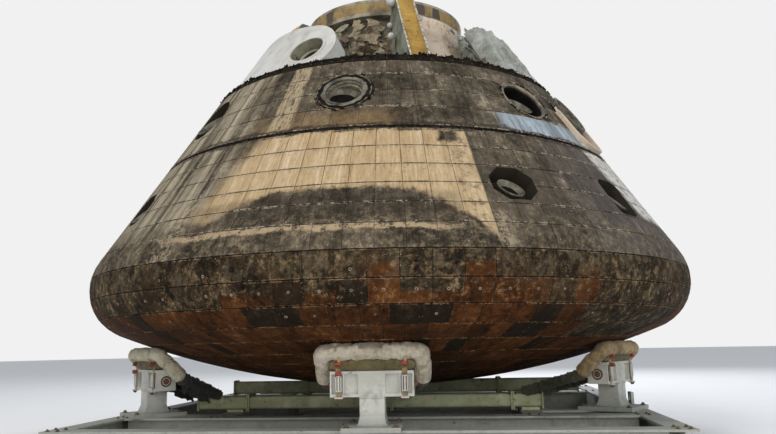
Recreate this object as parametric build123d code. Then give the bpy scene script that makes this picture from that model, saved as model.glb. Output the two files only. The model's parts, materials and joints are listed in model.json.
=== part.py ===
from build123d import *
import os
from math import asin, cos, degrees, radians, sin, sqrt, tan

# A blunt crew capsule after re-entry, standing on its padded recovery cradle.
# Millimetres, +Z up. The origin is on the ground under the capsule's axis.
# Azimuth (az) is measured about +Z from the front, -Y, and grows towards +X.
# A height named z is above the heat shield's apex; up() turns it into the frame's height.

# Capsule outline
APEX_Z = 365.0          # heat shield apex above the ground
NOSE_R = 6040.0         # spherical heat shield
MAX_R = 2515.0          # largest radius
SHOULDER_R = 378.0      # shoulder rounding between heat shield and cone
CONE = 32.5             # half angle of the cone, degrees
SHIELD_T = 75.0         # tiles and carrier of the heat shield
WALL_T = 160.0          # whole wall of the cone, tiles to pressure skin
SEAM = 4.0              # gap between neighbouring panels
NOSE_STEPS, SHOULDER_STEPS, INNER_STEPS = 8, 7, 2     # straight steps of the turned outlines

# Heights of the horizontal joints, above the apex
Z_SHIELD_TOP = 864.0
Z_SPLICE = (1728.0, 1750.0)
Z_TOP_RING = (2369.0, 2434.0)
SPLICE_SINK = 8.0
FLOOR_T, FLOOR_TOP, FLOOR_R = 25.0, 833.0, 2425.0

# Panel joints round the cone
SEAM_AZ = 14.8
PANELS = 8

# Side hatch
HATCH_AZ, HATCH_Z = 172.3, 1500.0
HATCH_W, HATCH_H, HATCH_R = 860.0, 1000.0, 120.0
HATCH_TAPER = 12.0
HATCH_GAP = 7.0
FRAME_RIM = 110.0
HINGE_OFF = 66.0        # hinge axis beside the hatch's edge
HINGE_UP = 18.0         # hinge axis above the tangent plane at the hatch's middle
HINGE_PIN_R = 16.0
HINGE_EYE_R = 30.0
HATCH_WINDOW_R = 105.0

# Forward bay
TOP_RING_T = 70.0
DECK_KNEE_R, DECK_T = 1400.0, 50.0
DECK_Z, DECK_RISE = 2370.0, 160.0
TUNNEL_R, TUNNEL_T = 620.0, 70.0
TUNNEL_Z = (2500.0, 3150.0)
RING_R, RING_INNER_R = 740.0, 430.0
RING_Z = (3150.0, 3300.0)
GUSSET_W = 160.0

# Recovery cradle
FRAME_TURN = -7.3       # the frame stands turned under the capsule
SIDE_U, END_V = 1920.0, 1980.0     # outer beam axes from the middle
BEAM_H, BEAM_W = 200.0, 150.0
FLANGE_T, WEB_T = 14.0, 10.0
CROSS_V = 1190.0        # cross beams between the side beams
INNER_U = 1150.0        # inner beams between the cross beams
POSTS = [               # az, distance from the axis, heading of the pad's outer side
    (-3.4, 1975.0, -3.4),
    (57.6, 1932.0, 51.7),
    (176.6, 1975.0, 176.6),
    (-65.8, 2016.0, -53.0),
]
PLATE = (350.0, 400.0, 28.0)
COLUMN, COLUMN_FOOT, COLUMN_FLARE = (150.0, 150.0), (172.0, 190.0), 55.0
HEAD = (508.0, 150.0)
HEAD_Z = (30.0, 182.0)
PAD_R, PAD_SIDES, PAD_GAP = 55.0, 12, 0.4
PAD_HALF, PAD_OUT, PAD_BEND = 310.0, 78.5, 40.0
PAD_LEG = (185.0, 185.0)

# Derived outline points
shoulder_c = MAX_R - SHOULDER_R
shoulder_z = NOSE_R - sqrt((NOSE_R - SHOULDER_R) ** 2 - shoulder_c**2)
nose_angle = degrees(asin(shoulder_c / (NOSE_R - SHOULDER_R)))


def up(z):
    return z + APEX_Z


def on_shoulder(radius, angle):
    """Point (r, z) of the shoulder arc of a radius, at an angle above the horizontal."""
    return shoulder_c + radius * cos(radians(angle)), shoulder_z + radius * sin(radians(angle))


def cone_r(z, depth=0.0):
    """Radius of the cone at a height, at a depth under its skin."""
    r0, z0 = on_shoulder(SHOULDER_R, CONE)
    return r0 - (z - z0) * tan(radians(CONE)) - depth / cos(radians(CONE))


def turned(az):
    return Rot(0, 0, az)


def pt(r, z):
    return Vector(r, 0, up(z))


def ring_sector(face, start_az, span):
    """Revolve a section drawn at +X from start_az over span degrees."""
    body = revolve(face, Axis.Z, revolution_arc=span)
    return turned(start_az - 90) * body


def skin_plane(az, z, depth=0.0):
    """Plane on the cone: X along the skin to +az, Y up the slope, Z out of the skin."""
    a = radians(az)
    c = radians(CONE)
    r = cone_r(z)
    normal = Vector(cos(c) * sin(a), -cos(c) * cos(a), sin(c))
    origin = Vector(r * sin(a), -r * cos(a), up(z)) - normal * depth
    return Plane(origin=origin, x_dir=Vector(cos(a), sin(a), 0), z_dir=normal)


def cone_section(z0, z1, top=0.0, thick=WALL_T):
    """Wall section between two heights of the cone."""
    p = [pt(cone_r(z0, top), z0), pt(cone_r(z1, top), z1)]
    q = [pt(cone_r(z1, thick), z1), pt(cone_r(z0, thick), z0)]
    return make_face(Polyline(*p, *q, close=True))


def nose_point(depth, share):
    """Point of the spherical shield at a depth, from the axis (0) to the shoulder (1)."""
    a = radians(nose_angle * share)
    r = NOSE_R - depth
    return pt(r * sin(a), NOSE_R - r * cos(a))


def shoulder_points(depth, z_from, z_to, steps):
    """Points of the shoulder between two heights of its skin, at a depth."""
    a0 = asin((z_from - shoulder_z) / SHOULDER_R)
    a1 = asin((z_to - shoulder_z) / SHOULDER_R)
    r = SHOULDER_R - depth
    angles = [degrees(a0 + (a1 - a0) * i / steps) for i in range(steps + 1)]
    return [pt(*on_shoulder(r, a)) for a in angles]


# Heat shield: a dish of constant thickness up to the joint over the shoulder
def heat_shield():
    z_tan = shoulder_z - SHOULDER_R * cos(radians(nose_angle))
    outer = [nose_point(0, i / NOSE_STEPS) for i in range(NOSE_STEPS)]
    outer += shoulder_points(0, z_tan, Z_SHIELD_TOP, SHOULDER_STEPS)
    inner = [nose_point(SHIELD_T, i / INNER_STEPS) for i in range(INNER_STEPS)]
    inner += shoulder_points(SHIELD_T, z_tan, Z_SHIELD_TOP, INNER_STEPS)
    return revolve(make_face(Polyline(*outer, *reversed(inner), close=True)), Axis.Z)


def lower_section():
    """Section of the lower cone panels, shoulder joint to splice."""
    z0, z1 = Z_SHIELD_TOP + SEAM, Z_SPLICE[0]
    z_cone = on_shoulder(SHOULDER_R, CONE)[1]
    outer = shoulder_points(0, z0, z_cone, 3) + [pt(cone_r(z1), z1)]
    inner = shoulder_points(WALL_T, z0, z_cone, 1) + [pt(cone_r(z1, WALL_T), z1)]
    return make_face(Polyline(*outer, *reversed(inner), close=True))


# Pockets of the attitude thrusters: az, z, shape, across the skin, up the skin, depth
POCKETS = [
    ("round", -9.4, 2072.0, 270.0, 270.0, 120.0),
    ("round", 35.3, 2095.0, 400.0, 400.0, 130.0),
    ("round", 53.5, 2080.0, 300.0, 300.0, 110.0),
    ("round", -51.9, 2104.0, 400.0, 400.0, 130.0),
    ("round", 112.5, 2095.0, 400.0, 400.0, 130.0),
    ("round", -130.0, 2104.0, 400.0, 400.0, 130.0),
    ("octagon", 20.2, 1307.0, 310.0, 280.0, 130.0),
    ("octagon", -54.4, 1346.0, 310.0, 280.0, 130.0),
    ("octagon", 84.0, 1307.0, 310.0, 280.0, 130.0),
    ("slot", 44.9, 1309.0, 250.0, 330.0, 120.0),
    ("slot", -93.0, 1309.0, 250.0, 330.0, 120.0),
]
FLANGE_R, FLANGE_SINK = 200.0, 30.0

# Cabin windows: az, z, width along the skin, height up the skin
WINDOWS = [
    (142.3, 2010.0, 300.0, 330.0),
    (202.3, 2010.0, 300.0, 330.0),
    (114.3, 1420.0, 330.0, 300.0),
    (230.3, 1420.0, 330.0, 300.0),
]
WINDOW_CORNER = 70.0
PANE_T, PANE_DEPTH = 24.0, 60.0
WINDOW_RIM = 26.0


def pocket_outline(shape, w, h):
    if shape == "round":
        return Circle(w / 2)
    if shape == "octagon":
        return chamfer_rect(w, h, 0.3 * h)
    return RectangleRounded(w, h, 0.25 * w)


def chamfer_rect(w, h, c):
    x, y = w / 2, h / 2
    corners = [(x, y - c), (x - c, y), (c - x, y), (-x, y - c)]
    corners += [(-x, c - y), (c - x, -y), (x - c, -y), (x, c - y)]
    return make_face(Polyline(*corners, close=True))


def pocket_cutters():
    out = []
    for shape, az, z, w, h, depth in POCKETS:
        place = skin_plane(az, z)
        tool = extrude(pocket_outline(shape, w, h), amount=-depth)
        tool += extrude(pocket_outline(shape, w, h), amount=60)
        if az == POCKETS[0][1]:
            tool += extrude(Circle(FLANGE_R), amount=-FLANGE_SINK)
        out.append(place * tool)
    return out


def window_cutters():
    out = []
    for az, z, w, h in WINDOWS:
        hole = RectangleRounded(w, h, WINDOW_CORNER)
        out.append(skin_plane(az, z) * extrude(hole, amount=WALL_T + 60, both=True))
    return out


def hatch_block(grow):
    """Tapered block of the hatch; grow widens it all round."""
    plan = RectangleRounded(HATCH_W + 2 * grow, HATCH_H + 2 * grow, HATCH_R + grow)
    outer = extrude(plan, amount=-(WALL_T + 120), taper=HATCH_TAPER)
    return skin_plane(HATCH_AZ, HATCH_Z) * (outer + extrude(plan, amount=80, taper=-HATCH_TAPER / 2))


def frame_block(grow=0.0):
    plan = RectangleRounded(
        HATCH_W + 2 * (FRAME_RIM + grow), HATCH_H + 2 * (FRAME_RIM + grow), HATCH_R + FRAME_RIM + grow
    )
    return skin_plane(HATCH_AZ, HATCH_Z) * extrude(plan, amount=WALL_T + 140, both=True)


def near(az, start, span, margin=14.0):
    """True where a cutter at az can reach a sector."""
    off = (az - start) % 360
    return off < span + margin or off > 360 - margin


def cone_panels():
    pockets, windows, frame = pocket_cutters(), window_cutters(), frame_block(SEAM)
    rings = [
        ("lower_panel", lower_section(), (0.0, Z_SPLICE[0])),
        ("upper_panel", cone_section(Z_SPLICE[1], Z_TOP_RING[0]), (Z_SPLICE[1], Z_TOP_RING[0])),
    ]
    pitch = 360 / PANELS
    gap = degrees(SEAM / cone_r(Z_SPLICE[0]))
    out = {}
    for name, face, (z_low, z_high) in rings:
        for i in range(PANELS):
            start = SEAM_AZ + i * pitch + gap / 2
            body = ring_sector(face, start, pitch - gap)
            for tool, row in zip(pockets, POCKETS):
                if z_low < row[2] < z_high and near(row[1], start, pitch):
                    body = body - tool
            for tool, row in zip(windows, WINDOWS):
                if z_low < row[1] < z_high and near(row[0], start, pitch):
                    body = body - tool
            if near(HATCH_AZ, start, pitch, 18):
                body = body - frame
            out[f"{name}_{i + 1}"] = body
    return out


def whole_cone(z0, z1, top=0.0, thick=WALL_T):
    return revolve(cone_section(z0, z1, top, thick), Axis.Z)


def hatch_parts():
    """Hatch frame in the wall, the hatch, its hinge eyes and pins, and its window."""
    shell = whole_cone(Z_SHIELD_TOP + 90, Z_TOP_RING[0] - 60)
    frame = (shell & frame_block()) - hatch_block(HATCH_GAP)
    hatch = shell & hatch_block(0)
    place = skin_plane(HATCH_AZ, HATCH_Z)
    window = place * extrude(Circle(HATCH_WINDOW_R), amount=WALL_T + 140, both=True)
    hatch = hatch - window
    pane = place * Pos(0, 0, -PANE_DEPTH) * extrude(Circle(HATCH_WINDOW_R), amount=-PANE_T)
    return frame, hatch, pane


def hinge_x():
    return -(HATCH_W / 2 + HINGE_OFF)


# Side hatch hinge: fixed eyes on the frame with the pin, moving arms on the hatch
HINGE_Y = (-300.0, 300.0)
EYE_W, ARM_W = 40.0, 50.0


def hinge_fixed():
    out = []
    x = hinge_x()
    for y in HINGE_Y:
        body = None
        for side in (-1, 1):
            yc = y + side * (ARM_W + EYE_W + 12) / 2
            eye = Pos(x, yc, HINGE_UP) * Rot(90, 0, 0) * Cylinder(HINGE_EYE_R, EYE_W)
            foot = Pos(x - 6, yc, HINGE_UP - 50) * Box(52, EYE_W, 90)
            body = eye + foot if body is None else body + eye + foot
        pin = Pos(x, y, HINGE_UP) * Rot(90, 0, 0) * Cylinder(HINGE_PIN_R, ARM_W + 2 * EYE_W + 36)
        out.append(skin_plane(HATCH_AZ, HATCH_Z) * (body + pin))
    return out


def hinge_arms():
    out = []
    x = hinge_x()
    for y in HINGE_Y:
        eye = Pos(x, y, HINGE_UP) * Rot(90, 0, 0) * Cylinder(HINGE_EYE_R, ARM_W)
        arm = Pos(x + 95, y, HINGE_UP + 8) * Box(190, ARM_W, 30)
        foot = Pos(x + 160, y, HINGE_UP - 22) * Box(90, ARM_W, 60)
        bore = Pos(x, y, HINGE_UP) * Rot(90, 0, 0) * Cylinder(HINGE_PIN_R + 0.5, ARM_W + 40)
        out.append(skin_plane(HATCH_AZ, HATCH_Z) * (eye + arm + foot - bore))
    return out


# Forward bay
def forward_deck():
    """Shallow cone from the top ring's seat up to the tunnel."""
    low, high = DECK_Z, DECK_Z + DECK_T
    pts = [
        pt(TUNNEL_R, high + DECK_RISE), pt(DECK_KNEE_R, high), pt(cone_r(high, TOP_RING_T + 2), high),
        pt(cone_r(low, TOP_RING_T + 2), low), pt(DECK_KNEE_R, low), pt(TUNNEL_R, low + DECK_RISE),
    ]
    return revolve(make_face(Polyline(*pts, close=True)), Axis.Z)


def tube_ring(r_out, r_in, z0, z1):
    face = make_face(Polyline(pt(r_in, z0), pt(r_out, z0), pt(r_out, z1), pt(r_in, z1), close=True))
    return revolve(face, Axis.Z)


DOCK_HOLES, DOCK_PCD, DOCK_HOLE_R = 12, 1300.0, 11.0

# Radial gussets: az, foot of the outer edge (distance, z), its top (distance, z)
GUSSETS = [
    (10.2, 1500.0, 2440.0, 905.0, 3270.0),
    (70.2, 1478.0, 2440.0, 1004.0, 3100.0),
    (130.2, 1478.0, 2440.0, 1004.0, 3100.0),
    (190.2, 1478.0, 2440.0, 1004.0, 3100.0),
    (250.2, 1478.0, 2440.0, 1004.0, 3100.0),
    (310.2, 1478.0, 2440.0, 1004.0, 3100.0),
]


def gusset_room(row, gap):
    """Room that a gusset takes, with a gap round it."""
    az, r0, z0, r1, z1 = row
    face = make_face(Polyline(
        pt(TUNNEL_R, DECK_Z), pt(r0 + gap, DECK_Z), pt(r0 + gap, z0), pt(r1 + gap, z1 + gap),
        pt(TUNNEL_R, z1 + gap), close=True))
    return turned(az - 90) * extrude(face, amount=GUSSET_W / 2 + gap, both=True)


def gussets():
    """Radial frames from the deck to the docking ring, each with an open channel outside."""
    inner, deck = TUNNEL_R + 1, DECK_Z + DECK_T + 1
    flange = 26.0
    out = []
    for az, r0, z0, r1, z1 in GUSSETS:
        web = make_face(Polyline(
            pt(inner, deck + DECK_RISE), pt(DECK_KNEE_R, deck), pt(DECK_KNEE_R + 40, deck),
            pt(DECK_KNEE_R + 48, z0 - 4), pt(r0, z0 - 4), pt(r0, z0), pt(r1, z1), pt(RING_R + 2, z1),
            pt(RING_R + 2, RING_Z[0] - 30), pt(inner, RING_Z[0] - 30), close=True))
        body = extrude(web, amount=GUSSET_W / 2, both=True)
        slot = make_face(Polyline(
            pt(r0 - flange * 1.3, z0 - 40), pt(r0 + 200, z0 - 40), pt(r1 + 200, z1 + 60),
            pt(r1 - flange * 1.5, z1 + 60), close=True))
        body = body - extrude(slot, amount=GUSSET_W / 2 - 14, both=True)
        out.append(turned(az - 90) * body)
    return out


# Docking hatch in the ring, hinged at the back
LID_R, LID_Z = 418.0, (3215.0, 3275.0)
LID_HINGE_Y, LID_HINGE_Z, LID_EYE_R, LID_PIN_R = 470.0, 3325.0, 22.0, 12.0
LID_HINGE_X = (-120.0, 120.0)


def docking_ring():
    ring = tube_ring(RING_R, RING_INNER_R, *RING_Z)
    top = up(RING_Z[1])
    for spot in PolarLocations(DOCK_PCD / 2, DOCK_HOLES):
        ring -= Pos(0, 0, top - 20) * spot * Cylinder(DOCK_HOLE_R, 42)
    return ring


def lid():
    low, high = up(LID_Z[0]), up(LID_Z[1])
    body = Pos(0, 0, (low + high) / 2) * Cylinder(LID_R, high - low)
    body += Pos(0, 0, low - 30) * Cylinder(LID_R - 60, 60)
    return body - Pos(0, 0, low - 45) * Cylinder(LID_R - 100, 60)


def lid_eyes():
    out = []
    for x in LID_HINGE_X:
        body = Pos(x, LID_HINGE_Y, up(LID_HINGE_Z)) * Rot(0, 90, 0) * Cylinder(LID_PIN_R, 120)
        for side in (-1, 1):
            xc = x + side * 41
            body += Pos(xc, LID_HINGE_Y, up(LID_HINGE_Z)) * Rot(0, 90, 0) * Cylinder(LID_EYE_R, 30)
            z_foot = (RING_Z[1] + LID_HINGE_Z) / 2
            body += Pos(xc, LID_HINGE_Y, up(z_foot)) * Box(30, 2 * LID_EYE_R, LID_HINGE_Z - RING_Z[1])
        out.append(body)
    return out


def lid_arms():
    out = []
    for x in LID_HINGE_X:
        z = up(LID_HINGE_Z)
        body = Pos(x, LID_HINGE_Y, z) * Rot(0, 90, 0) * Cylinder(LID_EYE_R, 40)
        body += Pos(x, LID_HINGE_Y - 80, z) * Box(40, 160, 26)
        body += Pos(x, LID_HINGE_Y - 125, (z + up(LID_Z[1])) / 2) * Box(40, 70, z - up(LID_Z[1]))
        out.append(body - Pos(x, LID_HINGE_Y, z) * Rot(0, 90, 0) * Cylinder(LID_PIN_R + 0.5, 60))
    return out


# Attitude thrusters in the pockets
NOZZLE_T, NOZZLE_BASE = 5.0, 25.0


def nozzles():
    """A bell in each pocket, standing on the pocket's floor."""
    out = []
    for shape, az, z, w, h, depth in POCKETS:
        mouth = 0.33 * min(w, h)
        low, high = -depth, -25.0
        outline = [(0, low), (mouth * 0.5, low), (mouth, high)]
        outline += [(mouth - NOZZLE_T, high), (0, low + NOZZLE_BASE)]
        face = Plane.XZ * make_face(Polyline(*outline, close=True))
        out.append(skin_plane(az, z) * revolve(face, Axis.Z))
    return out


def thruster_flange():
    ring = Cylinder(FLANGE_R - 4, FLANGE_SINK + 8) - Cylinder(POCKETS[0][3] / 2, FLANGE_SINK + 60)
    return skin_plane(POCKETS[0][1], POCKETS[0][2], (FLANGE_SINK - 8) / 2) * ring


COLLAR_R, COLLAR_H = 180.0, 45.0


def vent_collar():
    _, az, z, w, _, _ = POCKETS[2]
    ring = Pos(0, 0, COLLAR_H / 2 - 10) * (Cylinder(COLLAR_R, COLLAR_H + 20) - Cylinder(w / 2, COLLAR_H + 60))
    return skin_plane(az, z) * ring - whole_cone(Z_SPLICE[1], Z_TOP_RING[0])


def window_parts():
    frames, panes = [], []
    for az, z, w, h in WINDOWS:
        place = skin_plane(az, z)
        rim = RectangleRounded(w - 2, h - 2, WINDOW_CORNER) - RectangleRounded(
            w - 2 * WINDOW_RIM, h - 2 * WINDOW_RIM, WINDOW_CORNER - WINDOW_RIM)
        frames.append(place * Pos(0, 0, -PANE_DEPTH + 30) * extrude(rim, amount=-30))
        glass = RectangleRounded(w - 2, h - 2, WINDOW_CORNER)
        panes.append(place * Pos(0, 0, -PANE_DEPTH - 1) * extrude(glass, amount=-PANE_T))
    return frames, panes


# Crew seats on the cabin floor: middle x, middle y
SEATS = [(-330.0, -600.0), (330.0, -600.0), (-330.0, 700.0), (330.0, 700.0)]
SEAT_W, SEAT_BACK, SEAT_T, SEAT_H = 500.0, 880.0, 40.0, 260.0
SEAT_THIGH = 400.0


def seats():
    shells, stands = [], []
    floor = up(FLOOR_TOP)
    for x, y in SEATS:
        z = floor + SEAT_H
        back = Pos(x, y, z + SEAT_T / 2) * Box(SEAT_W, SEAT_BACK, SEAT_T)
        thigh_y, thigh_z = y + (SEAT_BACK - SEAT_T) / 2, z + SEAT_T + SEAT_THIGH / 2
        thigh = Pos(x, thigh_y, thigh_z) * Box(SEAT_W, SEAT_T, SEAT_THIGH)
        shells.append(back + thigh)
        for dy in (-300, 300):
            stands.append(Pos(x, y + dy, floor + SEAT_H / 2) * Box(SEAT_W - 60, 50, SEAT_H))
    return shells, stands


# White cover with a round port, and the pale panels on the other side of the front gusset
COVER_AZ, COVER_Z, COVER_SINK, COVER_T = (-82.0, -12.0), (2437.0, 3000.0), 30.0, 16.0
PORT_AZ, PORT_Z, PORT_R, PORT_TUBE = -26.4, 2640.0, 145.0, 110.0
END_X, END_R, TOP_SLOPE, END_REACH = -95.0, 337.0, 15.0, 1300.0
COVER_DEEP = 170.0


def conical_cover(az0, az1, z0, z1, sink, thick=COVER_T):
    face = make_face(Polyline(
        pt(cone_r(z0, sink), z0), pt(cone_r(z1, sink), z1),
        pt(cone_r(z1, sink + thick), z1), pt(cone_r(z0, sink + thick), z0), close=True))
    return ring_sector(face, az0, az1 - az0)


def cover_prism(place, r):
    """Prism of the cover's outline: a round end beside the port, and a top edge that rises away from it."""
    c, s = cos(radians(TOP_SLOPE)), sin(radians(TOP_SLOPE))
    tail = make_face(Polyline(
        (0, 0), (r * s, r * c), (r * s - END_REACH * c, r * c + END_REACH * s), (-END_REACH, -r), (0, -r),
        close=True))
    outline = Pos(END_X, 0) * (Circle(r) + tail)
    return place * extrude(outline, amount=700, both=True)


def port_cover():
    """Housing with a curved front, a round end and a side wall, and the short tube behind its port."""
    place = skin_plane(PORT_AZ, PORT_Z)
    front = conical_cover(*COVER_AZ, *COVER_Z, COVER_SINK) & cover_prism(place, END_R)
    side = conical_cover(*COVER_AZ, *COVER_Z, COVER_SINK, COVER_DEEP)
    side = (side & cover_prism(place, END_R)) - cover_prism(place, END_R - COVER_T)
    depth = COVER_SINK + PORT_TUBE / 2
    tube = place * Pos(0, 0, -depth) * (Cylinder(PORT_R + 22, PORT_TUBE) - Cylinder(PORT_R, 2 * PORT_TUBE))
    hole = place * extrude(Circle(PORT_R), amount=400, both=True)
    return front + side - gusset_room(GUSSETS[-1], 2) - hole + tube - forward_deck()


# Panels and blankets of the bays: az from, az to, z from, z to, depth under the cone line, thickness
BAY_PANELS = [
    (16.8, 37.0, 2502.0, 3060.0, 330.0, 24.0),
    (38.0, 63.5, 2437.0, 2880.0, 80.0, 40.0),
    (75.0, 125.0, 2437.0, 2760.0, 90.0, 16.0),
    (-105.0, -83.0, 2437.0, 2800.0, 90.0, 16.0),
]

# Mortar tubes standing in the bays: az, distance from the axis, tube radius, height
TUBES = [(100.2, 900.0, 150.0, 420.0), (160.2, 930.0, 130.0, 520.0), (-139.8, 930.0, 130.0, 520.0),
         (-79.8, 900.0, 150.0, 420.0), (-31.5, 850.0, 140.0, 300.0)]
TUBE_WALL = 12.0


def deck_z(r):
    """Height of the deck's top at a radius."""
    return DECK_Z + DECK_T + DECK_RISE * (DECK_KNEE_R - r) / (DECK_KNEE_R - TUNNEL_R)


def mortar_tubes():
    out = []
    for az, r, tube_r, height in TUBES:
        low = deck_z(r + tube_r) - 20
        tube = Cylinder(tube_r, height + 20) - Pos(0, 0, 90) * Cylinder(tube_r - TUBE_WALL, height)
        place = turned(az) * Pos(0, -r, up(low) + (height + 20) / 2)
        out.append(place * tube - forward_deck())
    return out


# Recovery cradle
def i_beam(length):
    """I-beam along X, standing on the ground."""
    w, t = BEAM_W / 2, FLANGE_T
    s, h = WEB_T / 2, BEAM_H
    pts = [(-w, 0), (w, 0), (w, t), (s, t), (s, h - t), (w, h - t)]
    pts += [(w, h), (-w, h), (-w, h - t), (-s, h - t), (-s, t), (-w, t)]
    face = Plane.YZ * make_face(Polyline(*pts, close=True))
    return extrude(face, amount=length / 2, both=True)


def frame_part(body):
    return Rot(0, 0, FRAME_TURN) * body


def beams(node):
    return [frame_part(Pos(u, v, 0) * Rot(0, 0, turn) * i_beam(length))
            for name, u, v, length, turn in BEAMS if name == node]


# Beams: node, u, v, length, turn
long_len = 2 * END_V + BEAM_W
wide_len = 2 * SIDE_U - BEAM_W
inner_len = 2 * CROSS_V - BEAM_W
stub_len = SIDE_U - INNER_U - BEAM_W
stub_u = (SIDE_U + INNER_U) / 2
STUB_V = (-1035.0, -820.0)      # short beams under the left and the right post
BEAMS = [
    ("cradle_side_beams", -SIDE_U, 0, long_len, 90),
    ("cradle_side_beams", SIDE_U, 0, long_len, 90),
    ("cradle_end_beams", 0, -END_V, wide_len, 0),
    ("cradle_end_beams", 0, END_V, wide_len, 0),
    ("cradle_cross_beams", 0, -CROSS_V, wide_len, 0),
    ("cradle_cross_beams", 0, CROSS_V, wide_len, 0),
    ("cradle_inner_beams", -INNER_U, 0, inner_len, 90),
    ("cradle_inner_beams", INNER_U, 0, inner_len, 90),
    ("cradle_inner_beams", -stub_u, STUB_V[0], stub_len, 0),
    ("cradle_inner_beams", stub_u, STUB_V[1], stub_len, 0),
]


def post_place(i, t=0.0, y=0.0, z=0.0):
    """Place in a post's own axes: X along the pad, Y inwards, Z up."""
    az, r, heading = POSTS[i]
    return turned(az) * Pos(0, -r, 0) * turned(heading - az) * Pos(t, y, z)


def posts():
    out = []
    foot_z, top_z = BEAM_H + PLATE[2], up(HEAD_Z[0])
    knee_z = foot_z + COLUMN_FLARE
    for i in range(len(POSTS)):
        base = Pos(0, 0, BEAM_H + PLATE[2] / 2) * Box(*PLATE)
        column = loft([Pos(0, 0, foot_z) * Rectangle(*COLUMN_FOOT), Pos(0, 0, knee_z) * Rectangle(*COLUMN)])
        column += Pos(0, 0, (knee_z + top_z) / 2) * Box(*COLUMN, top_z - knee_z)
        out.append(post_place(i) * (base + column))
    return out


# Recesses in a head's outer face, on both sides of its column: middle, width
RECESSES = [(-210.0, 68.0), (-124.0, 84.0), (124.0, 84.0), (210.0, 68.0)]
RECESS_DEEP, RECESS_RIM = 25.0, 18.0


def post_heads():
    w, d = HEAD
    h = HEAD_Z[1] - HEAD_Z[0]
    out = []
    for i in range(len(POSTS)):
        head = Box(w, d, h)
        for x, wide in RECESSES:
            head -= Pos(x, -d / 2, 0) * Box(wide, 2 * RECESS_DEEP, h - 2 * RECESS_RIM)
        out.append(post_place(i, z=up(sum(HEAD_Z) / 2)) * head)
    return out


def pad_z(i):
    """Height of a roll's middle line that lets it touch the shield at its nearest point."""
    az, r, heading = POSTS[i]
    off = radians(az - heading)
    near = r * cos(off) + PAD_OUT
    beside = max(abs(r * sin(off)) - PAD_HALF, 0)
    return up(NOSE_R) - sqrt((NOSE_R + PAD_R + PAD_GAP) ** 2 - near**2 - beside**2)


SADDLE = (400.0, 110.0)


def saddles():
    out = []
    for i in range(len(POSTS)):
        low, high = up(HEAD_Z[1]), pad_z(i) - PAD_R / 3
        block = Pos(0, 12 - PAD_OUT, (low + high) / 2) * Box(*SADDLE, high - low)
        pad = Pos(0, -PAD_OUT, pad_z(i)) * Rot(0, 90, 0) * Cylinder(PAD_R + PAD_GAP, SADDLE[0] + 100)
        out.append(post_place(i) * (block - pad))
    return out


def pads():
    """Padded rolls with a leg at each end that bends in under the shield."""
    r_in, drop = PAD_LEG
    knee = 0.7 * PAD_BEND
    half = [(PAD_HALF - PAD_BEND, 0, 0), (PAD_HALF, knee, -knee), (PAD_HALF, r_in, -drop)]
    points = [(-x, y, z) for x, y, z in reversed(half)] + half
    lead = Vector(*points[1]) - Vector(*points[0])
    outline = Plane(origin=points[0], z_dir=lead) * RegularPolygon(PAD_R, PAD_SIDES)
    roll = sweep(outline, path=Polyline(*points), transition=Transition.RIGHT)
    return [post_place(i, 0, -PAD_OUT, pad_z(i)) * roll for i in range(len(POSTS))]


# Square tubes across the frame, on packers over the inner beams: v, from u, to u, side, packer's height
CROSS_TUBES = [(-750.0, -1460.0, 1240.0, 100.0, 20.0), (750.0, -1700.0, 1700.0, 120.0, 40.0)]
PACKER = (130.0, 140.0)
FRONT_TOP, REAR_TOP = (BEAM_H + side + packer for _, _, _, side, packer in CROSS_TUBES)

# Wrapped arms from the pads' legs to the tubes: post, side of the pad, u, v, resting height
ARM_R = 40.0
ARMS = [
    (0, -1, -20.0, -750.0, FRONT_TOP), (0, 1, 200.0, -750.0, FRONT_TOP),
    (1, -1, 1080.0, -750.0, FRONT_TOP), (1, 1, 1190.0, -750.0, FRONT_TOP),
    (2, -1, 20.0, 750.0, REAR_TOP), (2, 1, -200.0, 750.0, REAR_TOP),
    (3, -1, -1405.0, -750.0, FRONT_TOP), (3, 1, -1300.0, -750.0, FRONT_TOP),
]


def arms(pad_list):
    """Straight wrapped struts; each foot is cut flat where it rests."""
    out = []
    r_in, drop = PAD_LEG
    for post, side, u, v, rest in ARMS:
        a = post_place(post, side * PAD_HALF, r_in - PAD_OUT, pad_z(post) - drop).position
        b = (Rot(0, 0, FRAME_TURN) * Pos(u, v, rest)).position
        path = b - a
        body = extrude(Plane(origin=a, z_dir=path) * Circle(ARM_R), amount=path.length + ARM_R)
        body -= Pos(b.X, b.Y, rest - 100) * Box(700, 700, 200)
        out.append(body - pad_list[post])
    return out


LUG = (20.0, 120.0, 110.0)
LUG_HOLE_R, LUG_HOLE_UP, LUG_V = 22.0, 65.0, 620.0


def lugs():
    """Tie-down eyes on the side beams."""
    out = []
    for u in (-SIDE_U, SIDE_U):
        for v in (-LUG_V, LUG_V):
            plate = Pos(u, v, BEAM_H + LUG[2] / 2) * Box(*LUG)
            hole = Pos(u, v, BEAM_H + LUG_HOLE_UP) * Rot(0, 90, 0) * Cylinder(LUG_HOLE_R, 60)
            out.append(frame_part(plate - hole))
    return out


def cross_tubes():
    out = []
    for v, u0, u1, side, packer in CROSS_TUBES:
        tube = extrude(Plane.YZ * RectangleRounded(side, side, side / 5), amount=u1 - u0)
        body = Pos(u0, v, BEAM_H + packer + side / 2) * tube
        for u in (-INNER_U, INNER_U):
            body += Pos(u, v, BEAM_H + packer / 2) * Box(*PACKER, packer)
        out.append(frame_part(body))
    return out


def write(node, solids):
    if not isinstance(solids, (list, tuple)):
        solids = [solids]
    pieces = []
    for item in solids:
        pieces.extend(item.solids())
    shape = pieces[0] if len(pieces) == 1 else Compound(children=pieces)
    export_step(shape, f"parts/{node}.step")


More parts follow.
